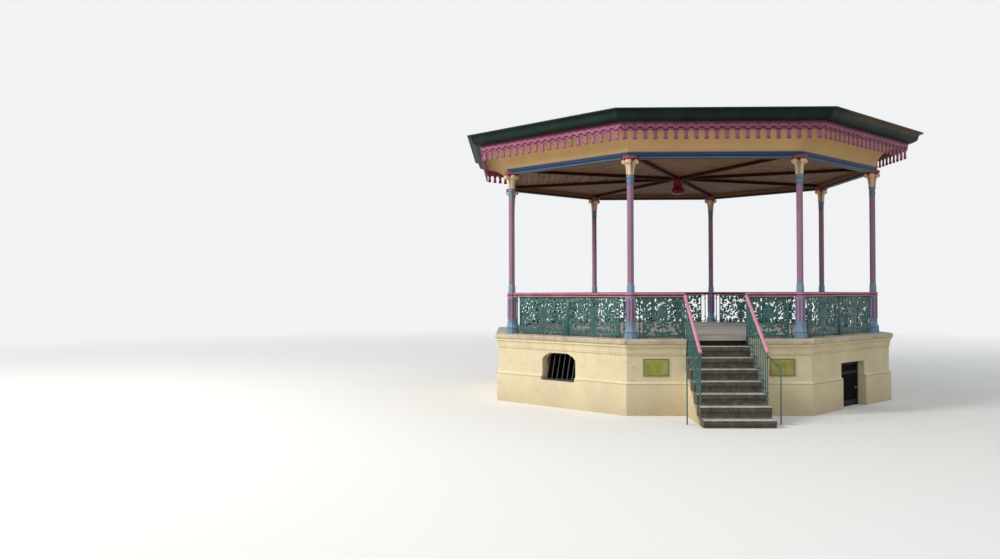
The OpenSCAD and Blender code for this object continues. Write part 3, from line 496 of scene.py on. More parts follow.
def wall_render(name, rgb, patches=1.1):
    """Lime render: broad patches, streaks below the coping, splash at the ground, small places where the skin
    is lost and a painted shadow line under the base course. Deeper in than an opening's reveal, the walls are
    painted dark as shade."""
    t = Finish(name, rgb, 0.92, specular=0.12)
    z = t.split(t.pos)[2]
    g = t.grime(Low=0.03, High=0.45, Patches=patches)
    below_coping = t.times(g["Streaks"], t.span(z, 0.7, 1.2, 0.03, 0.32))
    under_nose = t.band(z, BASE_NOSE - 0.026, BASE_NOSE - 0.014, BASE_NOSE - 0.010, BASE_NOSE)
    inside = WALL - UNDERCROFT
    shade = t.coats(t.toned(t.base, t.span(g["Cloud"], 0.32, 0.70, 0.87, 1.04)),
                    (below_coping, (150, 133, 104)),
                    (t.times(g["Splash"], 0.4), (150, 132, 104)),
                    (t.speckle(7.0, 9.0, 0.74, 0.61, 0.66, 0.0, 0.6), (184, 166, 134)),
                    (t.speckle(3.2, 6.0, 0.7, 0.42, 0.7, 0.0, 0.28), (206, 190, 152)),
                    (t.times(under_nose, 0.5), (150, 128, 92)),
                    # painted shade: walls deeper in than an opening's reveal turn dark
                    (t.span(t.side()["Out"], inside - 0.03, inside, 1.0, 0.0), (46, 40, 34)))
    return t.done(shade, t.noise(t.pos, 26.0, 8.0, 0.7), 0.25, 0.006)


def coping_stone():
    """Mottled stone with joints across the coping, and dark and pale specks."""
    t = Finish("coping_stone", (206, 196, 174), 0.85, specular=0.2)
    side = t.side()
    b = t.place(BOARDS, Across=side["Along"], Length=side["Out"], Seed=side["Side"], Width=0.97, Slit=0.005)
    cloud = t.span(t.grime(Patches=3.0)["Cloud"], 0.3, 0.7, 0.72, 1.1)
    tone = t.plus(cloud, t.span(b["Board"], 0.0, 1.0, -0.07, 0.07))
    shade = t.coats(t.toned(t.base, tone),
                    (t.speckle(15.0, 8.0, 0.75, 0.55, 0.66, 0.0, 0.62), (118, 108, 94)),
                    (t.speckle(22.0, 6.0, 0.7, 0.6, 0.7, 0.0, 0.5), (214, 202, 178)),
                    (t.times(b["Joint"], 0.35), (84, 76, 66)))
    return t.done(shade, t.noise(t.pos, 34.0, 7.0, 0.7), 0.35, 0.006)


def step_stone():
    """Worn tops with painted light and dark fronts, told apart by which way the surface faces; painted shade
    darkens each tread at its back, under the step above.
    """
    t = Finish("step_stone", (80, 75, 66), 0.8, specular=0.25)
    up = t.span(t.split(t.node("TexCoord").outputs["Normal"])[2], 0.35, 0.8)
    mottle = t.speckle(9.0, 8.0, 0.68, 0.36, 0.68)
    from_floor = t.minus(t.times(t.split(t.pos)[1], -1.0), FLOOR_EDGE)
    tread = t.math("FRACT", t.math("DIVIDE", from_floor, GOING))
    # painted light on the tops, by which way they face, and painted shade at the back of each tread
    worn_and_lit_top = t.blend(mottle, (178, 172, 164), (226, 220, 210))
    back = t.blend(mottle, (90, 85, 78), (130, 124, 114))
    front = t.blend(mottle, (74, 69, 63), (112, 105, 96))
    top = t.blend(t.span(tread, 0.25, 0.55), back, worn_and_lit_top)
    return t.done(t.blend(up, front, top), t.noise(t.pos, 30.0, 7.0, 0.7), 0.3, 0.005)


def floor_cement():
    """Worn cement: broad patches, faint hair cracks at the edges of random cells, and fine dirt."""
    t = Finish("floor_cement", (184, 179, 168), 0.8, specular=0.25)
    g = t.grime(Patches=0.9)
    cells = t.node("TexVoronoi", feature="DISTANCE_TO_EDGE", named={"Vector": t.pos, "Scale": 1.3})
    shade = t.coats(t.toned(t.base, t.span(g["Cloud"], 0.3, 0.7, 0.74, 1.1)),
                    (t.span(cells.outputs["Distance"], 0.0, 0.004, 0.18, 0.0), (96, 92, 84)),
                    (t.span(g["Fine"], 0.55, 0.72, 0.0, 0.4), (122, 116, 104)))
    return t.done(shade, g["Fine"], 0.2, 0.004)


def door_boards():
    """Dark boards side by side, with joints and grain along them."""
    t = Finish("door_boards", (9, 9, 13), 0.75, specular=0.06)
    side = t.side()
    b = t.place(BOARDS, Across=side["Along"], Length=side["Height"], Seed=3.0, Width=0.112, Slit=0.005)
    shade = t.coats(t.blend(t.span(b["Grain"], 0.3, 0.7), (5, 5, 8), (16, 16, 21)),
                    (t.span(b["Board"], 0.0, 1.0, 0.0, 0.35), (16, 16, 20)),
                    (b["Joint"], (4, 4, 5)))
    return t.done(shade, t.minus(t.times(b["Grain"], 0.2), b["Joint"]), 0.4, 0.004)


def plaque_enamel():
    """Olive enamel inside a darker border, by the place on the plate."""
    t = Finish("plaque_enamel", (134, 142, 60), 0.32)
    x, _, z = t.split(t.pos)
    border = 0.018
    across = t.math("ABSOLUTE", t.minus(t.math("ABSOLUTE", x), PLAQUE_X))
    level = t.math("ABSOLUTE", t.minus(z, PLAQUE_Z))
    rim = t.math("MAXIMUM", t.minus(across, PLAQUE_W / 2 - border), t.minus(level, PLAQUE_H / 2 - border))
    face = t.blend(t.speckle(6.0, 5.0, 0.6, 0.35, 0.65), (136, 140, 62), (166, 166, 92))
    return t.done(t.blend(t.span(rim, -0.002, 0.002), face, (112, 118, 52)))


def rail_paint():
    """Pink gloss paint with a dark line where the groove runs."""
    t = Finish("rail_pink", (186, 124, 146), 0.45, specular=0.25)
    height = t.minus(t.split(t.pos)[2], RAIL_UNDER)
    shade = t.blend(t.speckle(2.4, 5.0, 0.6, 0.34, 0.66), (172, 112, 134), (204, 146, 162))
    shade = t.blend(t.band(height, 0.018, 0.022, 0.042, 0.046), shade, (86, 26, 48))
    return t.done(shade, t.noise(t.pos, 60.0, 3.0), 0.08, 0.002)


def beam_paint():
    """Bands of the ring beam from each height up: dark foot, pale strip, dark line, blue fascia with a paler
    band along its middle as a painted highlight, and grey head; its inner face has a maroon foot under boards."""
    t = Finish("beam_blue", (58, 84, 132), 0.5, specular=0.25)
    side = t.side()
    shade = colour(26, 28, 40)
    # the paler blue band from 0.014 to 0.026 is a painted highlight along the fascia
    for level, rgb in ((-0.049, (100, 120, 142)), (-0.022, (20, 24, 40)), (-0.010, (36, 68, 120)),
                       (0.014, (52, 92, 150)), (0.026, (36, 68, 120)), (0.047, (140, 134, 126))):
        start = BLOCK_TOP + level
        shade = t.blend(t.span(side["Height"], start, start + 0.005), shade, rgb)
    inner = t.span(side["Out"], COLUMN_LINE + 0.02, COLUMN_LINE + 0.03, 1.0, 0.0)
    boards = t.span(side["Height"], BLOCK_TOP - 0.012, BLOCK_TOP - 0.006)
    shade = t.blend(inner, shade, t.blend(boards, (58, 32, 30), (122, 90, 66)))
    return t.done(t.toned(shade, t.speckle(3.0, 5.0, 0.6, 0.3, 0.7, 0.85, 1.1)))


def cove_paint():
    """Cream paint, clouded a little."""
    t = Finish("cove_cream", (222, 194, 150), 0.6, specular=0.1)
    return t.done(t.toned(t.base, t.speckle(2.0, 5.0, 0.6, 0.3, 0.7, 0.88, 1.04)))


def ceiling_boards():
    """Varnished boards that run along each side of the octagon, with long dark stains and painted shade that
    darkens them away from the stair."""
    t = Finish("ceiling_boards", (104, 78, 56), 0.6, specular=0.08)
    side = t.side()
    b = t.place(BOARDS, Across=side["Out"], Length=side["Along"], Seed=side["Side"], Width=0.118, Slit=0.006)
    streak = t.join(t.times(side["Along"], 1.6), t.times(side["Out"], 9.0), side["Side"])
    stain = t.noise(streak, 1.0, 6.0, 0.7)
    shade = t.coats(t.blend(t.span(b["Grain"], 0.3, 0.7), (122, 90, 64), (182, 144, 106)),
                    (t.span(b["Board"], 0.0, 1.0, 0.0, 0.5), (104, 74, 54)),
                    (t.span(stain, 0.46, 0.66, 0.0, 0.75), (58, 38, 26)),
                    (t.times(b["Joint"], 0.8), (30, 18, 12)))
    # painted shade: the boards grow darker from the stair towards the back
    painted_shade = t.span(t.split(t.pos)[1], -3.2, 1.2, 1.22, 0.66)
    shade = t.blend(1.0, shade, t.join(painted_shade, t.times(painted_shade, 0.97), t.times(painted_shade, 0.95)), "MULTIPLY")
    return t.done(shade, b["Joint"], 0.3, -0.004)


def fret_front():
    """Pink paint, dark under the gutter with dirt and painted shadow; the dark band comes down in a point over
    each lobe.
    """
    t = Finish("fret_pink", (164, 100, 138), 0.5, specular=0.25)
    side = t.side()
    from_lobe = t.math("PINGPONG", t.math("DIVIDE", side["Along"], PITCH), 0.5)
    level = t.plus(t.minus(side["Height"], VALANCE_Z), t.span(from_lobe, 0.24, 0.5, 0.0, 0.030))
    # dirt and painted shadow under the gutter, dipping to a point over each lobe
    dirt = t.times(t.span(level, 0.246, 0.272), t.speckle(14.0, 5.0, 0.6, 0.2, 0.6, 0.55, 1.0))
    shade = t.blend(t.speckle(3.0, 5.0, 0.6, 0.3, 0.7), (146, 82, 116), (172, 108, 142))
    shade = t.blend(t.times(dirt, 0.9), shade, (104, 44, 70))
    return t.done(shade, t.noise(t.pos, 60.0, 3.0), 0.1, 0.002)


def gutter_iron():
    """Dark green gloss with a paler band along the top lip, worn paint with a painted highlight; on the right
    front side the upper half is weathered brown."""
    t = Finish("gutter_green", (22, 42, 36), 0.55, specular=0.14)
    side = t.side()
    height = t.minus(side["Height"], VALANCE_TOP)
    cloud = t.noise(t.pos, 3.0, 6.0, 0.65)
    right_front = t.math("COMPARE", side["Side"], 1.0, 0.1)
    upper = t.times(t.span(height, 0.070, 0.125), t.span(side["Along"], -1.5, -0.7))
    weathered = t.times(right_front, t.times(upper, t.span(cloud, 0.36, 0.56, 0.35, 0.85)))
    shade = t.coats(t.blend(t.span(cloud, 0.35, 0.68), (15, 31, 26), (28, 50, 43)),
                    # paler top lip: worn paint with a painted highlight
                    (t.span(height, 0.160, 0.176, 0.0, 0.35), (58, 88, 80)),
                    (weathered, (98, 86, 76)))
    return t.done(shade, t.noise(t.pos, 22.0, 5.0, 0.6), 0.12, 0.004)


def roof_sheet():
    """Zinc sheets, each of its own grey, with broad clouds and fine dirt."""
    t = Finish("roof_zinc", (134, 140, 143), 0.45, metal=0.6)
    side = t.side()
    g = t.grime(Patches=0.8)
    b = t.place(BOARDS, Across=side["Along"], Length=side["Out"], Seed=side["Side"], Width=SEAM_SPACING,
                Slit=0.006)
    tone = t.plus(t.span(g["Cloud"], 0.3, 0.7, 0.8, 1.1), t.span(b["Board"], 0.0, 1.0, -0.06, 0.06))
    shade = t.toned(colour(140, 146, 149), tone)
    return t.done(t.blend(t.span(g["Fine"], 0.55, 0.75, 0.0, 0.35), shade, (96, 98, 96)))


RENDER = wall_render("render_cream", (230, 220, 188))
STAIR_RENDER = wall_render("stair_render", (228, 214, 180), 1.6)
COPING = coping_stone()
FLOOR = floor_cement()
STEPS = step_stone()
PLAQUE = plaque_enamel()
VENT_IRON = paint("vent_iron", (62, 63, 62), 0.7, 1.2, 0.55, wear_and_glint=(96, 70, 52), wear_and_glint_at=0.6)
DOOR = door_boards()
DOOR_TIMBER = paint("door_timber", (12, 12, 16), 0.8, 1.3, 0.7)
KNOB = paint("knob_iron", (118, 116, 110), 0.8, 1.1, 0.45)
# the pale teal spots on the castings are painted glints where light catches the bumps
CAST_IRON = paint("cast_iron_teal", (52, 98, 98), 0.66, 1.25, 0.3, wear_and_glint=(126, 162, 158), wear_and_glint_at=0.6,
                  relief=0.25)
BAR_IRON = paint("bar_iron_teal", (66, 106, 104), 0.8, 1.15, 0.34)
RAIL = rail_paint()
PALE_BLUE = paint("column_pale_blue", (120, 146, 172), 0.86, 1.08, 0.42, specular=0.3)
MAUVE = paint("column_mauve", (132, 92, 126), 0.85, 1.1, 0.4)
STRIP = paint("pedestal_lilac", (150, 140, 172), 0.85, 1.1, 0.4)
PINK = paint("column_pink", (186, 112, 138), 0.86, 1.08, 0.38)
# a darker copy of the column pink: painted shade on the block under the eaves
SHADED_BLOCK_PINK = paint("block_pink_shaded", (158, 84, 106), 0.8, 1.1, 0.5, specular=0.2)
# maroon paint; on the valance's middle board it stands for painted shadow
MAROON_AND_SHADOW = paint("maroon_and_painted_shadow", (84, 26, 54), 0.9, 1.1, 0.5, specular=0.15)
LILAC = paint("shaft_lilac", (150, 116, 142), 0.88, 1.08, 0.42, specular=0.3)
RING_BLUE = paint("ring_blue", (92, 118, 152), 0.84, 1.1, 0.38)
CREAM = paint("capital_cream", (232, 206, 178), 0.86, 1.06, 0.5)
# painted shade: the capital's bell is dark brown where it shows between the leaves
UMBER_PAINTED_SHADE = paint("capital_shade", (84, 56, 38), 0.85, 1.1, 0.6)
BEAM = beam_paint()
COVE = cove_paint()
FRET = paint("fret_mauve", (154, 92, 128), 0.82, 1.1, 0.5, specular=0.25)
FRET_FRONT = fret_front()
GUTTER = gutter_iron()
BOARD_CEILING = ceiling_boards()
RIB = paint("rib_maroon", (52, 22, 20), 0.85, 1.15, 0.6, specular=0.06)
BOSS = paint("boss_crimson", (110, 26, 50), 0.85, 1.15, 0.4, specular=0.15)
ROOF = roof_sheet()
STAIR_RAIL = paint("stair_rail_pink", (220, 150, 172), 0.86, 1.08, 0.36)
PLAQUE_FRAME = paint("plaque_frame", (122, 128, 58), 0.85, 1.1, 0.35)


# Plinth, door and plaques

def door_rails():
    """Cross rail and foot rail over the door's boards."""
    edge = DOOR_W / 2 - 0.070
    return [(*block((-edge, -DOOR_FACE - proud, z0), (edge, -DOOR_FACE + 0.002, z1), 0.003), DOOR_TIMBER)
            for proud, z0, z1 in ((0.010, 0.590, 0.640), (0.008, 0.030, 0.110))]


def plaque_frames():
    """Thin raised frames round the two plates."""
    parts = []
    bar = 0.014
    y0, y1 = -WALL - 0.0118, -WALL - 0.002
    z0, z1 = PLAQUE_Z - PLAQUE_H / 2, PLAQUE_Z + PLAQUE_H / 2
    for x in (-PLAQUE_X, PLAQUE_X):
        x0, x1 = x - PLAQUE_W / 2, x + PLAQUE_W / 2
        for xa, xb, za, zb in ((x0, x1, z0, z0 + bar), (x0, x1, z1 - bar, z1),
                               (x0, x0 + bar, z0 + bar, z1 - bar), (x1 - bar, x1, z0 + bar, z1 - bar)):
            parts.append((*block((xa, y0, za), (xb, y1, zb), 0.001), PLAQUE_FRAME))
    return parts


# Columns

def lobe(half_width, radius, out, z):
    """Scroll at the end of a leaf: a circle carried across the leaf, with a ring sunk into both ends."""
    a = circle(16)
    ends = ((1.0, 0.26), (0.90, 0.34), (0.86, 0.46), (1.0, 0.56), (1.0, 0.72), (0.93, 0.90))
    shape = [(-f, q) for f, q in ends] + [(-0.80, 0.99), (0, 0.95), (0.80, 0.99)] + list(ends[::-1])
    rows = [np.column_stack([np.full(16, f * half_width), -(out + q * radius * np.cos(a)),
                             z + q * radius * np.sin(a)]) for f, q in shape]
    return tube(np.stack(rows))


def capital_leaf(foot, top):
    """A broad leaf over a quarter of the bell: it rises, swells and bends outward under its scroll. In plan
    it is a little flatter than a circle, has a raised midrib and falls away at both edges."""
    path = bend((0.0645, foot), (0.070, foot + 0.100), (0.076, foot + 0.170), (0.113, top - 0.052), 14)
    u = np.linspace(-1, 1, 17)
    theta = np.radians(28.0 * u)
    shape = np.cos(theta) ** -0.5 * (1 - 0.10 * np.abs(u) ** 6)
    ribs = 0.0022 * (np.exp(-(u / 0.10) ** 2) + 0.8 * np.exp(-((np.abs(u) - 0.55) / 0.09) ** 2)) - 0.0012
    back_reach, back_angles = np.full(5, 0.046), np.radians([25, 12, 0, -12, -25])
    rows = []
    for t, (r, z) in zip(np.linspace(0, 1, len(path)), path):
        reach = np.concatenate([r * shape + ribs, back_reach])
        angle = np.concatenate([theta, back_angles]) * (1 - 0.26 * t ** 2)
        rows.append(np.column_stack([reach * np.sin(angle), -reach * np.cos(angle), np.full(len(angle), z)]))
    return tube(np.stack(rows))


def bead(out, z, r):
    """An upright bead with six sides, widest at half its height."""
    a = circle(6)
    shape = [(0.55, -1.25), (0.95, -0.7), (1.0, 0.0), (0.95, 0.7), (0.55, 1.25)]
    rows = [np.column_stack([s * r * np.cos(a), -out + s * r * np.sin(a), np.full(6, z + h * r)])
            for s, h in shape]
    return tube(np.stack(rows))


def pedestal_strip(wide, slot, depth, z0, z1):
    """Strip over a corner of the pedestal: it goes from the edge of one sunk panel round the corner to the
    edge of the next, and back behind them."""
    back = depth - wide
    first = np.array([(slot, back, 0), (slot, -wide, 0), (wide * math.tan(HALF), -wide, 0)])
    second = turn(np.array([(-slot, -wide, 0), (-slot, back, 0)]), EIGHTH)
    inner = turn(np.array([(0, back / math.cos(HALF), 0)]), HALF)
    plan = np.vstack([first, second, inner])
    return tube(np.stack([plan + (0, 0, z) for z in (z0, z1)]))


def column_parts():
    """One column at the middle, its outer face towards -Y, its foot at z = 0. Profiles are half widths across
    flats and heights."""
    top = CAPITAL_TOP - COPING_TOP
    neck = top - CAPITAL_H
    wide, slim = 0.081, 0.053
    slot, sunk, strip_depth = 0.020, 0.0075, 0.010

    def at(half_width, height, *rows):
        return [(half_width + r, height + z) for r, z in rows]

    castings = (
        (PALE_BLUE, [(0.1075, 0.0005), (0.1075, 0.084), (0.1015, 0.090), (0.0955, 0.094), (0.0955, 0.103)]),
        (PALE_BLUE, [(0.0955, 0.101), (0.1085, 0.110), (0.1085, 0.120), (0.095, 0.138), (0.082, 0.160),
                     (0.075, 0.190), (0.075, 0.268), (0.081, 0.277), (0.081, 0.292)]),
        (MAUVE, at(wide - sunk, 0, (0, 0.286), (0, 0.684))),
        (PALE_BLUE, at(wide, 0, (0, 0.676), (0, 0.716))),
        (PINK, at(wide, 0, (0.006, 0.715), (0.006, 0.739))),
        (MAROON_AND_SHADOW, at(wide, 0, (0, 0.738), (0, 0.756))),
        (PINK, at(wide, 0, (0.006, 0.755), (0.006, 0.780), (0.003, 0.785), (slim + 0.008 - wide, 0.792))),
        (PALE_BLUE, at(slim, 0, (0.009, 0.790), (0.009, 0.905), (0.002, 0.940), (0, 0.944), (0, 0.95))),
        (LILAC, [(slim, 0.949), (slim, neck - 0.172)]),
        (RING_BLUE, at(slim, neck, (0, -0.176), (0.003, -0.172), (0.003, -0.158), (0.001, -0.154),
                       (0.001, -0.119))),
        (PALE_BLUE, at(slim, neck, (0, -0.120), (0.008, -0.112), (0.008, -0.098), (0.002, -0.090),
                       (0.001, -0.088))),
        (RING_BLUE, at(slim, neck, (0.001, -0.089), (0.001, -0.039))),
        (PALE_BLUE, at(slim, neck, (0.001, -0.044), (0.011, -0.036), (0.012, -0.024), (0.010, -0.014),
                       (0.004, -0.010))),
        (RING_BLUE, at(slim, neck, (0.004, -0.011), (0.005, -0.001), (0.008, 0.001), (0.008, 0.008))),
        # the bell behind the leaves is umber as painted shade in the recesses
        (UMBER_PAINTED_SHADE, at(slim, neck, (0.004, 0.005), (0.002, 0.060))
         + at(slim, top, (0.006, -0.060), (0.040, -0.014), (0.040, -0.001))))
    parts = [(*octagon(profile), coat) for coat, profile in castings]

    # The block has a corner outward, so it is turned by its corners
    parts.append((*turned_bar([(0.122, top - 0.010), (0.130, top + 0.0005)], 8), MAROON_AND_SHADOW))
    parts.append((*turned_bar([(0.136, top), (0.1415, top + 0.005), (0.1415, top + 0.050),
                               (0.137, top + 0.0545)], 8), SHADED_BLOCK_PINK))

    panel = block((-slot + 0.004, -wide + 0.004, 0.290), (slot - 0.004, -wide + 0.012, 0.677), 0.001)
    strip = pedestal_strip(wide, slot, strip_depth, 0.284, 0.678)
    parts += all_round([(*panel, MAUVE), (*strip, STRIP)])

    beads = [(*bead(0.0600 + 0.024 * max(0.0, (i - 3) / 3) ** 1.5, neck + 0.022 + 0.033 * i, 0.0112), CREAM)
             for i in range(7)]
    scroll = lobe(0.046, 0.0405, 0.107, top - 0.0455)
    quarter = [(*capital_leaf(neck + 0.002, top), CREAM), (*scroll, CREAM)] + on_side(beads, 1)
    return parts + all_round(quarter, range(0, 8, 2))


def build_columns():
    """The same castings on each corner of the octagon, between two sides."""
    column = shifted(column_parts(), (0.0, -RING, COPING_TOP))
    for n in range(8):
        piece(f"column_casting_{n + 1}", on_side(column, n + 0.5), replaces=(f"column_{n + 1}",))


# Railings

def leaf(foot, angle, length, width, curl=0.0):
    """A leaf whose midrib bends by the curl and whose width follows a sine of the way along it."""
    t = np.linspace(0, 1, 6)
    a = np.radians(angle + curl * t[:-1])
    steps = np.column_stack([np.cos(a), np.sin(a)]) * length / 5
    path = np.asarray(foot, float) + np.vstack([[(0, 0)], np.cumsum(steps, axis=0)])
    wide = 1.15 * width * np.sin(math.pi * (0.14 + 0.84 * t)) ** 0.8
    return path, np.maximum(wide, 0.003), 0.010 + 0.008 * np.sin(math.pi * t), 4


def leaves_along(path, start, end, count, first, last, width, side, tilt, curl):
    """Leaves that grow from a path between two places on it, from the first length to the last; side 0 puts
    them on each side in turn."""
    direction, _ = along(path)
    out = []
    for j in range(count):
        f = j / max(count - 1, 1)
        i = int(round((start + (end - start) * f) * (len(path) - 1)))
        s = side or (1 if j % 2 else -1)
        heading = math.degrees(math.atan2(direction[i, 1], direction[i, 0]))
        out.append(leaf(path[i], heading + s * tilt, first + (last - first) * f, width,
                        curl if side else s * abs(curl)))
    return out


def stem(path, foot=0.018, tip=None):
    """A stroke of even depth that narrows from its foot to its tip."""
    return path, np.linspace(foot, tip or foot, len(path)), 0.020, 6


def wide_half(w, h):
    """Right half of the wide panel: three scrolls outside, two inside, and the leaves that grow from them.
    Gives the strokes and each scroll's hub."""
    low, high, side, top, middle = (np.array(centre) for centre in (
        (w - 0.128, 0.132), (w - 0.150, h - 0.138), (w - 0.062, h * 0.5), (0.188, h - 0.132), (0.272, 0.215)))
    low_stem = bend((0.04, 0.07), (0.15, -0.03), (0.30, 0.006), low + (0, -0.116))
    low_scroll = spiral(low, 0.116, 0.022, -90, 330, 30)
    high_stem = bend((0.07, 0.25), (0.17, 0.33), (0.25, 0.30), polar(high, 0.118, 200))
    high_scroll = spiral(high, 0.118, 0.020, 200, -200, 30)
    top_stem = bend((0.03, 0.33), (0.05, 0.42), (0.08, 0.45), polar(top, 0.074, 165), 9)
    top_scroll = spiral(top, 0.074, 0.015, 165, -230, 24)
    middle_scroll = spiral(middle, 0.072, 0.014, 180, 560, 24)
    side_scroll = spiral(side, 0.058, 0.012, -20, -420, 22)
    middle_stem = bend((0.10, 0.15), (0.15, 0.13), (0.18, 0.14), middle + (-0.072, 0), 7)
    out = [stem(low_stem), stem(low_scroll, 0.018, 0.012), stem(high_stem), stem(high_scroll, 0.018, 0.012),
           stem(top_stem), stem(top_scroll, 0.016, 0.011), stem(middle_stem, 0.016),
           stem(middle_scroll, 0.016, 0.011), stem(side_scroll, 0.014, 0.010)]
    for row in ((low_stem, .2, .98, 6, .088, .094, .044, 1, 52, 35),
                (low_scroll, .03, .55, 10, .078, .060, .040, -1, 50, 18),
                (low_scroll, .05, .45, 6, .052, .040, .034, 1, 58, -30),
                (high_stem, .1, .95, 7, .100, .086, .044, 0, 52, 30),
                (high_scroll, .02, .55, 11, .080, .058, .040, 1, 50, -18),
                (high_scroll, .06, .5, 6, .052, .040, .034, -1, 58, 30),
                (top_stem, .2, .95, 6, .080, .072, .042, 0, 52, 30),
                (top_scroll, .02, .6, 9, .064, .046, .036, 1, 50, -18),
                (middle_scroll, .02, .6, 9, .062, .046, .036, -1, 50, 18),
                (side_scroll, .05, .65, 7, .048, .036, .030, 1, 54, -18)):
        out += leaves_along(*row)
    for row in (((w, .004), 146, .130, .050, 20), ((w, h - .004), 214, .130, .050, -20),
                ((w, h * .5 + .095), 190, .090, .044, 10), ((w, h * .5 - .095), 170, .090, .044, -10),
                ((w - .300, 0), 80, .100, .044), ((w - .300, h), -100, .120, .046),
                ((w - .360, h), -70, .100, .044), ((.118, h), -84, .095, .044), ((.190, 0), 100, .092, .044),
                ((.120, 0), 70, .078, .042), ((w - .250, 0), 95, .070, .038),
                ((.330, .330), 20, .105, .050, 25), ((.330, .330), -35, .100, .048, -25),
                ((.330, .330), 75, .090, .044, 20), ((w - .10, h * .5 - .01), 150, .070, .040, 10),
                ((w - .10, h * .5 - .01), 215, .080, .040, -10), ((.090, .050), 20, .090, .044, 10),
                ((.075, .085), -30, .080, .040)):
        out.append(leaf(*row))
    return out, [(low, .032), (high, .030), (top, .023), (middle, .022), (side, .019)]


def narrow_half(w, h):
    """Right half of the narrow panel: two scrolls, a stem between them and their leaves. Gives the strokes
    and each scroll's hub."""
    low, high = np.array([w - 0.098, 0.150]), np.array([w - 0.092, h - 0.120])
    low_stem = bend((0.008, 0.03), (0.06, 0), (0.10, 0.02), low + (0, -0.09), 10)
    low_scroll = spiral(low, 0.090, 0.018, -90, 330, 28)
    rise = bend((0.0, 0.12), (0.03, 0.17), (0.07, 0.20), (0.118, 0.27), 9)
    high_stem = bend((0.118, 0.27), (0.150, 0.33), (0.118, 0.40), polar(high, 0.088, 200), 9)
    high_scroll = spiral(high, 0.088, 0.017, 200, -190, 28)
    out = [stem(low_stem, .016), stem(low_scroll, .016, .011), stem(rise, .016), stem(high_stem, .016),
           stem(high_scroll, .016, .011)]
    for row in ((low_stem, .25, .95, 4, .064, .066, .038, 1, 52, 35),
                (low_scroll, .03, .58, 9, .064, .048, .037, -1, 50, 18),
                (low_scroll, .08, .45, 4, .042, .034, .028, 1, 58, -30),
                (rise, .15, .95, 5, .068, .068, .038, 0, 52, 30),
                (high_stem, .1, .9, 5, .064, .064, .038, -1, 52, 30),
                (high_scroll, .02, .58, 10, .064, .048, .037, 1, 50, -18)):
        out += leaves_along(*row)
    for row in (((w, .004), 140, .100, .046, 20), ((w, h - .004), 216, .100, .046, -20),
                ((w, h * .52), 180, .096, .044), ((w, h * .52), 145, .084, .040),
                ((w, h * .52), 215, .084, .040), ((.060, h), -80, .096, .044),
                ((w - .110, h), -100, .074, .042), ((w, h * .52 + .06), 160, .070, .038),
                ((.045, .10), 20, .074, .040), ((.11, 0), 80, .050, .036)):
        out.append(leaf(*row))
    return out, [(low, .027), (high, .026)]


def mirrored(strokes, hubs):
    """The strokes and hubs of a right half with their mirror images."""
    left = [(path * (-1, 1), width, depth, sides) for path, width, depth, sides in strokes]
    return strokes + left, [((m * x, z), radius) for m in (1, -1) for (x, z), radius in hubs]


def wide_ornament(w, h):
    """Both halves, with a twelve-petalled flower and a palmette on the middle line."""
    out, hubs = mirrored(*wide_half(w, h))
    out += [leaf((0, .165), 15 + 30 * i, .134, .046) for i in range(12)]
    out += [leaf((0, .300), 90 + 24 * i, .166 - .008 * abs(i), .048, -6 * i) for i in range(-4, 5)]
    out.append((np.array([(0, .20), (0, .30), (0, .42), (0, h)]), (.018, .016, .012, .020), 0.016, 6))
    out += [leaf((0, h - .001), -90 + 34 * i, .124, .046, 8 * i) for i in (-2, -1, 1, 2)]
    out += [leaf((0, .002), 90 + 50 * i, .070, .040) for i in (-1, 0, 1)]
    return out, [((0, .165), .044), ((0, .300), .028)] + hubs


def narrow_ornament(w, h):
    """Two pairs of scrolls with a broad heart-shaped palmette between them."""
    out, hubs = mirrored(*narrow_half(w, h))
    out.append((np.array([(0, .01), (0, .14), (0, .30)]), (.022, .014, .014), 0.016, 6))
    out.append((np.array([(0, .48), (0, .56), (0, h)]), (.012, .014, .020), 0.016, 6))
    base = 0.300
    out += [leaf((0, base), 90 + s * 30, .185, .098, -s * 30) for s in (1, -1)]
    out.append(leaf((0, base), 90, .15, .09))
    out += [leaf((0, base), 90 + a, .120, .036, -0.2 * a) for a in (-92, -66, 66, 92)]
    out += [leaf((0, base + .16), 90 + a, .080, .036) for a in (-60, -25, 25, 60)]
    out += [leaf((0, h - .001), -90 + 38 * i, .112, .044, 8 * i) for i in (-1, 1)]
    out += [leaf((0, .002), 90 + 50 * i, .078, .042) for i in (-1, 0, 1)]
    return out, [((0, base), .026), ((0, .150), .020)] + hubs


ROUNDED = ((0.55, -1), (0.9, -0.75), (1, 0), (0.9, 0.75), (0.55, 1))
PLAIN = ((1, -1), (1, 1))


def disc(centre, radius, depth=0.022, edge=ROUNDED):
    """A button in the plane of the panel: a circle carried through it by the edge's rows of (part of the
    radius, part of half the depth)."""
    a = circle(14)
    rows = [np.column_stack([centre[0] + s * radius * np.cos(a), np.full(14, d * depth / 2),
                             centre[1] + s * radius * np.sin(a)]) for s, d in edge]
    return tube(np.stack(rows))


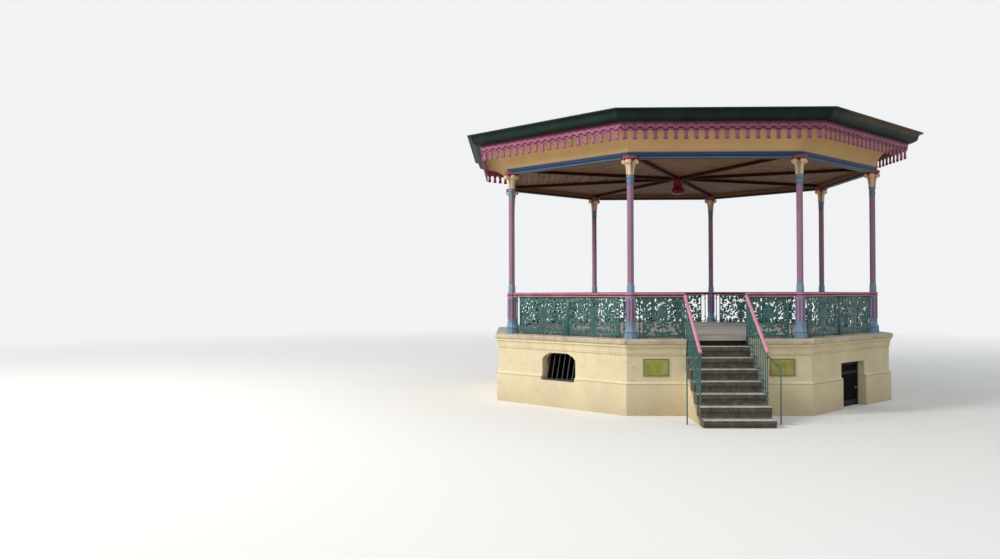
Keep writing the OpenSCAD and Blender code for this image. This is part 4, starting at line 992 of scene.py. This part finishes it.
def panel_parts(width, ornament):
    """One cast panel with its frame, standing on z = 0 with its middle at x = 0."""
    h = RAIL_UNDER - COPING_TOP - PANEL_FOOT - CLEAR
    f, t = FRAME_BAR, 0.008
    half, inner_w, inner_h = width / 2, width / 2 - FRAME_BAR, h - 2 * FRAME_BAR
    surfaces = [block((-half, -t, 0), (half, t, f)), block((-half, -t, h - f), (half, t, h)),
                block((-half, -t, f - 0.002), (-half + f, t, h - f + 0.002)),
                block((half - f, -t, f - 0.002), (half, t, h - f + 0.002))]
    frame_parts = [(*surface, CAST_IRON) for surface in surfaces]
    strokes, hubs = ornament(inner_w, inner_h)
    cast = []
    for path, w, depth, sides in strokes:
        inside = np.clip(path, [-inner_w - 0.01, -0.01], [inner_w + 0.01, inner_h + 0.01])
        cast.append((*cast_strip(inside, w, depth, sides), CAST_IRON))
    cast += [(*disc(centre, radius), CAST_IRON) for centre, radius in hubs]
    return frame_parts + shifted(cast, (0.0, 0.0, f))


def knob(z, r):
    """Profile rows of a round swelling on a bar of radius r."""
    return [(r * part, z + r * rise)
            for part, rise in ((0.75, -1.6), (1.25, -1), (1.45, 0), (1.25, 1), (0.75, 1.6))]


def side_bar():
    """Turned bar beside a column, with a foot, three knobs and a head."""
    h, r = RAIL_UNDER - COPING_TOP - 0.001, 0.014
    rows = [(r * 1.5, 0), (r * 1.5, .008), (r * .8, .016)] + knob(.12 * h, r) + knob(.24 * h, r)
    rows += [(r * .72, .24 * h + 4 * r)] + knob(.88 * h, r)
    rows += [(r * .8, h - .014), (r * 1.3, h - .006), (r * 1.3, h)]
    return turned_bar(rows, 12)


def bar_block(x, z, across, deep, high):
    """A small iron block on the line of the columns, centred on x and standing on z."""
    low = (x - across / 2, -COLUMN_LINE - deep / 2, z)
    top = (x + across / 2, -COLUMN_LINE + deep / 2, z + high)
    return (*block(low, top), CAST_IRON)


def half_bay(m, panel, width, middle, feet, inset, tie, post_x, post_tie):
    """Castings right (m = 1) or left (m = -1) of a bay's middle: panel and feet, the turned bar beside the
    column, and ties from the panel to that bar and to the post. Feet are placed by parts of the width."""
    parts = shifted(panel, (m * middle, -COLUMN_LINE, COPING_TOP + PANEL_FOOT))
    parts += [bar_block(m * middle + f * width, BAY_FOOT, .034, .026, PANEL_FOOT + .001) for f in feet]
    bar_foot = (m * (SIDE / 2 - SIDE_BAR), -COLUMN_LINE, COPING_TOP + 0.0005)
    parts += shifted([(*side_bar(), CAST_IRON)], bar_foot)
    for level in (.060, POST_H - .030):
        parts.append(bar_block(m * (SIDE / 2 - (SIDE_BAR + inset) / 2), BAY_FOOT + level, tie, .010, .014))
        parts.append(bar_block(m * post_x, BAY_FOOT + level, post_tie, .010, .014))
    return parts


def build_railings():
    """Seven closed bays with a post in the middle, and the two halves of the front bay beside the stair."""
    gap = 0.004
    width = (SIDE - 2 * PANEL_INSET - MIDDLE_POST) / 2 - gap
    panel = panel_parts(width, wide_ornament)
    middle, post_x = (MIDDLE_POST + gap + width) / 2, (MIDDLE_POST + gap) / 2
    bay = []
    for m in (-1, 1):
        bay += half_bay(m, panel, width, middle, (-.42, 0, .42), PANEL_INSET, .096, post_x, .010)
    bay.append(bar_block(0, BAY_FOOT, MIDDLE_POST, MIDDLE_POST, POST_H))
    for level in (.02, .33, POST_H - .06):
        bay.append(bar_block(0, BAY_FOOT + level, MIDDLE_POST + .010, MIDDLE_POST + .010, .022))
    for k in range(1, 8):
        piece(f"railing_castings_{k}", on_side(bay, k), replaces=(f"railing_{k}",),
              crease=50)

    post_foot = FLOOR_TOP - RISER + CLEAR
    width = SIDE / 2 - FRONT_INSET - STAIR_POST - 0.022
    panel, middle = panel_parts(width, narrow_ornament), SIDE / 2 - FRONT_INSET - width / 2
    for m, word in ((-1, "left"), (1, "right")):
        bay = half_bay(m, panel, width, middle, (-.4, .4), FRONT_INSET, .058, STAIR_POST + .016, .022)
        bay.append(bar_block(m * STAIR_POST, post_foot, .030, .030, BAY_FOOT + POST_H - post_foot))
        piece(f"railing_castings_front_{word}", bay, replaces=(f"railing_front_{word}",),
              crease=50)


# Eaves

def pendant_foot():
    """Rounded foot of a pendant round its hole: rings from the hole to the foot's outline, front and back,
    joined. The outline is a rounded rectangle whose powers of the cosine and the sine add up to one."""
    a = circle(24)
    half_width, half_height, power = 0.250 * PITCH, HOLE_Z, 2.5
    across, up = np.abs(np.cos(a) / half_width), np.abs(np.sin(a) / half_height)
    outer = (across ** power + up ** power) ** (-1 / power)
    bevel, t = 0.004, VALANCE_T / 2
    loops = ((HOLE_R, -t), (outer - bevel, -t), (outer, -t + 0.5 * bevel), (outer, t), (HOLE_R, t))
    rows = [np.column_stack([r * np.cos(a), np.full(24, y), HOLE_Z + r * np.sin(a)]) for r, y in loops]
    return ring(np.stack(rows, 1))


def pendant_stem():
    """Stem above the foot: narrow between the openings, then spread into the arches over them. Half widths
    are parts of the pitch. Its front lies just behind the foot's."""
    shape = ((.031, .244), (.036, .240), (.044, .228), (.052, .208), (.060, .190), (.070, .176), (.085, .168),
             (.110, .172), (.124, .195), (.136, .232), (.145, .285), (.152, .350), (.157, .415), (.160, .470),
             (.161, .5), (.185, .5))
    t, b = VALANCE_T / 2 - 0.0015, 0.004
    rows = []
    for h, part in shape:
        w = part * PITCH
        rows.append([(-w + b, -t, h), (w - b, -t, h), (w, -t + 0.5 * b, h), (w, t, h), (-w, t, h),
                     (-w, -t + 0.5 * b, h)])
    return tube(np.array(rows))


def scallops(drop):
    """Lower edge of a front layer of the valance on one side: level over each opening, with a round lobe that
    hangs over each pendant; the drop lowers it all."""
    half_side = PITCH * PENDANTS / 2
    x = np.linspace(-half_side, half_side, PENDANTS * 16 + 1)
    away = np.abs((x / PITCH) % 1.0 - 0.5)
    lobe_edge = 0.209 - 0.036 * np.sqrt(np.clip(1 - (away / 0.26) ** 2, 0, 1)) ** 0.8
    return x, lobe_edge - drop


def layer(drop, front):
    """A board that fills the valance from its scalloped lower edge up, from its front one step back."""
    x, low = scallops(drop)
    back = front - BOARD_STEP
    foot, head = VALANCE_Z + low, np.full(len(x), VALANCE_TOP - 0.002)
    outline = ((front - 0.003, foot), (front, foot + 0.003), (front, head), (back, head), (back, foot))
    limit = (front - 0.001) * math.tan(HALF)
    return tube(np.stack([np.column_stack([np.clip(x, -limit, limit), np.full(len(x), -out), z])
                          for out, z in outline], 1))


def build_valance():
    """Three layers: pendants at the back, each with a dark plug in its foot, a dark board of painted shadow
    that shows as a line under the front board, and a scalloped board in front with a dark mark over each
    pendant."""
    back_face = VALANCE_OUT - 2 * BOARD_STEP
    pendant = [(*pendant_foot(), FRET), (*pendant_stem(), FRET),
               (*disc((0, HOLE_Z), HOLE_R + 0.0005, VALANCE_T - 0.005, PLAIN), MAROON_AND_SHADOW)]
    mark = (*block((-.006, -VALANCE_OUT - .0002, VALANCE_Z + .190),
                   (.006, -VALANCE_OUT + .003, VALANCE_Z + .214), 0.003), MAROON_AND_SHADOW)
    pendants, marks = [], []
    for i in range(PENDANTS):
        x = (i - (PENDANTS - 1) / 2) * PITCH
        pendants += shifted(pendant, (x, VALANCE_T / 2 - back_face, VALANCE_Z))
        marks += shifted([mark], (x, 0.0, 0.0))
    outer, foot, top = back_face - 0.001, VALANCE_Z + 0.172, VALANCE_TOP + 0.120
    inner = outer - VALANCE_T + BOARD_STEP
    backing = (*octagon_ring([(outer, foot), (outer, top), (inner, top), (inner, foot)]), FRET)
    piece("valance_pendants", all_round(pendants) + [backing], replaces=("valance",),
          crease=30)
    # the middle board, lowered by 23 mm, is painted shadow under the scalloped board's edge
    boards = [(*layer(0.0, VALANCE_OUT), FRET_FRONT), (*layer(0.023, VALANCE_OUT - BOARD_STEP), MAROON_AND_SHADOW)]
    piece("valance_scalloped_boards", all_round(boards + marks), crease=30)


def build_roof_trim():
    """Rolls along the eight hips and low seams up each side of the roof."""
    eaves = GUTTER_TOP - 0.044 + 0.028
    seams = []
    for i in range(-2, 3):
        x = i * SEAM_SPACING
        highest = max(0.30, abs(x) / math.tan(HALF) + 0.06)
        rows = []
        for d in np.linspace(ROOF_EDGE - 0.02, highest, 8):
            z = eaves + (ROOF_EDGE - d) * ROOF_SLOPE
            rows.append([(x - .010, -d, z - .002), (x - .007, -d, z + .016), (x + .007, -d, z + .016),
                         (x + .010, -d, z - .002)])
        seams.append((*tube(np.array(rows)), ROOF))
    out = np.linspace(ROOF_EDGE - 0.02, 0.17, 14)
    r, z = out / math.cos(HALF), eaves + (ROOF_EDGE - out) * ROOF_SLOPE + 0.006
    parts = []
    for k in range(8):
        a = HALF + k * EIGHTH
        hip = round_tube(np.column_stack([r * math.sin(a), -r * math.cos(a), z]), 0.020, 8)
        parts += [(*hip, ROOF)] + on_side(seams, k)
    piece("roof_rolls", parts)


# Finishes of the solids

SOLID_FINISH = {
    "platform_floor": FLOOR, "coping": COPING, "plaques": PLAQUE, "vent_grille": VENT_IRON,
    "door_frame": DOOR_TIMBER, "store_door": DOOR, "door_knob": KNOB, "stair_base": STAIR_RENDER,
    "stair_steps": STEPS, "stair_bars_left": BAR_IRON, "stair_bars_right": BAR_IRON,
    "stair_handrails": STAIR_RAIL, "stair_stays": BAR_IRON, "handrails": RAIL, "ring_beam": BEAM,
    "cove": COVE, "gutter": GUTTER, "ceiling": BOARD_CEILING, "ceiling_ribs": RIB, "ceiling_boss": BOSS,
    "roof": ROOF,
}


def dress_solids():
    """Gives each solid its finish; the walls of the plinth share one."""
    for name, obj in NODES.items():
        material = SOLID_FINISH.get(name, RENDER if name.startswith("plinth") else None)
        if material:
            obj.data.materials.clear()
            obj.data.materials.append(material)


dress_solids()
build_columns()
build_railings()
build_valance()
build_roof_trim()
piece("door_rails", on_side(door_rails(), 1), body="door_leaf")
piece("plaque_frames", plaque_frames())


# Floor, light and camera

BACKDROP = (0.88, 0.89, 0.90, 1.0)
AIR, KEY, LOW = 0.67, 4500.0, 235.0


def looked_at(t):
    """1 where the camera, a reflection or glass looks, 0 for the rays that carry light."""
    path = t.node("LightPath").outputs
    mirrored_ray = t.math("MAXIMUM", path["Is Glossy Ray"], path["Is Transmission Ray"])
    return t.math("MAXIMUM", path["Is Camera Ray"], mirrored_ray)


def build_floor():
    """A pale floor that fades into the backdrop far off. It looks pale, but gives the part only the light
    that pale gravel would."""
    size, fade_from, fade_to = 60.0, 9.0, 30.0
    looks, gives = (236, 233, 228), (204, 184, 152)
    mesh = bpy.data.meshes.new("studio_floor")
    corners = [(x * size, y * size, -0.001) for x, y in ((-1, -1), (1, -1), (1, 1), (-1, 1))]
    mesh.from_pydata(corners, [], [(0, 1, 2, 3)])
    t = Finish("studio_pale", (242, 239, 232), 0.95, specular=0.0)
    seen = looked_at(t)
    x, y, _ = t.split(t.pos)
    distance = t.math("SQRT", t.plus(t.times(x, x), t.times(y, y)))
    far = t.span(distance, fade_from, fade_to)
    shown = t.blend(far, looks, (0, 0, 0))
    t.shader["Emission Color"].default_value = BACKDROP
    t.put(t.times(seen, t.span(far, 0.0, 1.0, 0.05, 1.0)), t.shader["Emission Strength"])
    mesh.materials.append(t.done(t.blend(seen, gives, shown)))
    floor = bpy.data.objects.new("studio_floor", mesh)
    bpy.context.scene.collection.objects.link(floor)


def build_air():
    """Even light from all round, and the backdrop where one looks past the floor."""
    world = bpy.data.worlds.new("studio_air")
    bpy.context.scene.world = world
    world.use_nodes = True
    world.node_tree.nodes.clear()
    t = Tree(world.node_tree)
    light = t.node("Background", (0.88, 0.94, 1.0, 1.0), AIR)
    pale = t.node("Background", BACKDROP, 1.0)
    mix = t.node("MixShader", looked_at(t), light.outputs[0], pale.outputs[0])
    t.node("OutputWorld", mix.outputs[0])


def build_lamps():
    """A high lamp on the left, as the sun stood, and a low one in front."""
    for name, place, aim, size, power, tint in (
            ("key_lamp", (-22.0, -10.0, 15.0), (0, 0, 1.6), 7.0, KEY, (1.0, 0.97, 0.92)),
            ("low_lamp", (-4.0, -24.0, 3.0), (0, 0, 2.6), 8.0, LOW, (1.0, 0.98, 0.95))):
        lamp = bpy.data.lights.new(name, "AREA")
        lamp.shape = "DISK"
        lamp.size = size
        lamp.energy = power
        lamp.color = tint
        obj = bpy.data.objects.new(name, lamp)
        turned = (Vector(aim) - Vector(place)).to_track_quat("-Z", "Y").to_matrix().to_4x4()
        obj.matrix_world = Matrix.Translation(place) @ turned
        bpy.context.scene.collection.objects.link(obj)


def build_camera():
    """The photo's camera: its place, and its right, up and forward directions from yaw, pitch and roll."""
    place = (-3.4524, -19.0308, 2.1258)
    yaw, pitch, roll = (math.radians(v) for v in (-0.948, 0.7065, -0.1746))
    forward = Vector((math.sin(yaw) * math.cos(pitch), math.cos(yaw) * math.cos(pitch), math.sin(pitch)))
    level = Vector((math.cos(yaw), -math.sin(yaw), 0.0))
    upright = level.cross(forward)
    right = math.cos(roll) * level + math.sin(roll) * upright
    up = -math.sin(roll) * level + math.cos(roll) * upright
    data = bpy.data.cameras.new("photo_camera")
    data.sensor_width = 36.0
    data.lens = 32.31
    data.clip_end = 300.0
    obj = bpy.data.objects.new("photo_camera", data)
    obj.matrix_world = Matrix.Translation(place) @ Matrix((right, up, -forward)).transposed().to_4x4()
    bpy.context.scene.collection.objects.link(obj)
    bpy.context.scene.camera = obj


build_floor()
build_air()
build_lamps()
build_camera()
bpy.context.scene.view_settings.view_transform = "Standard"
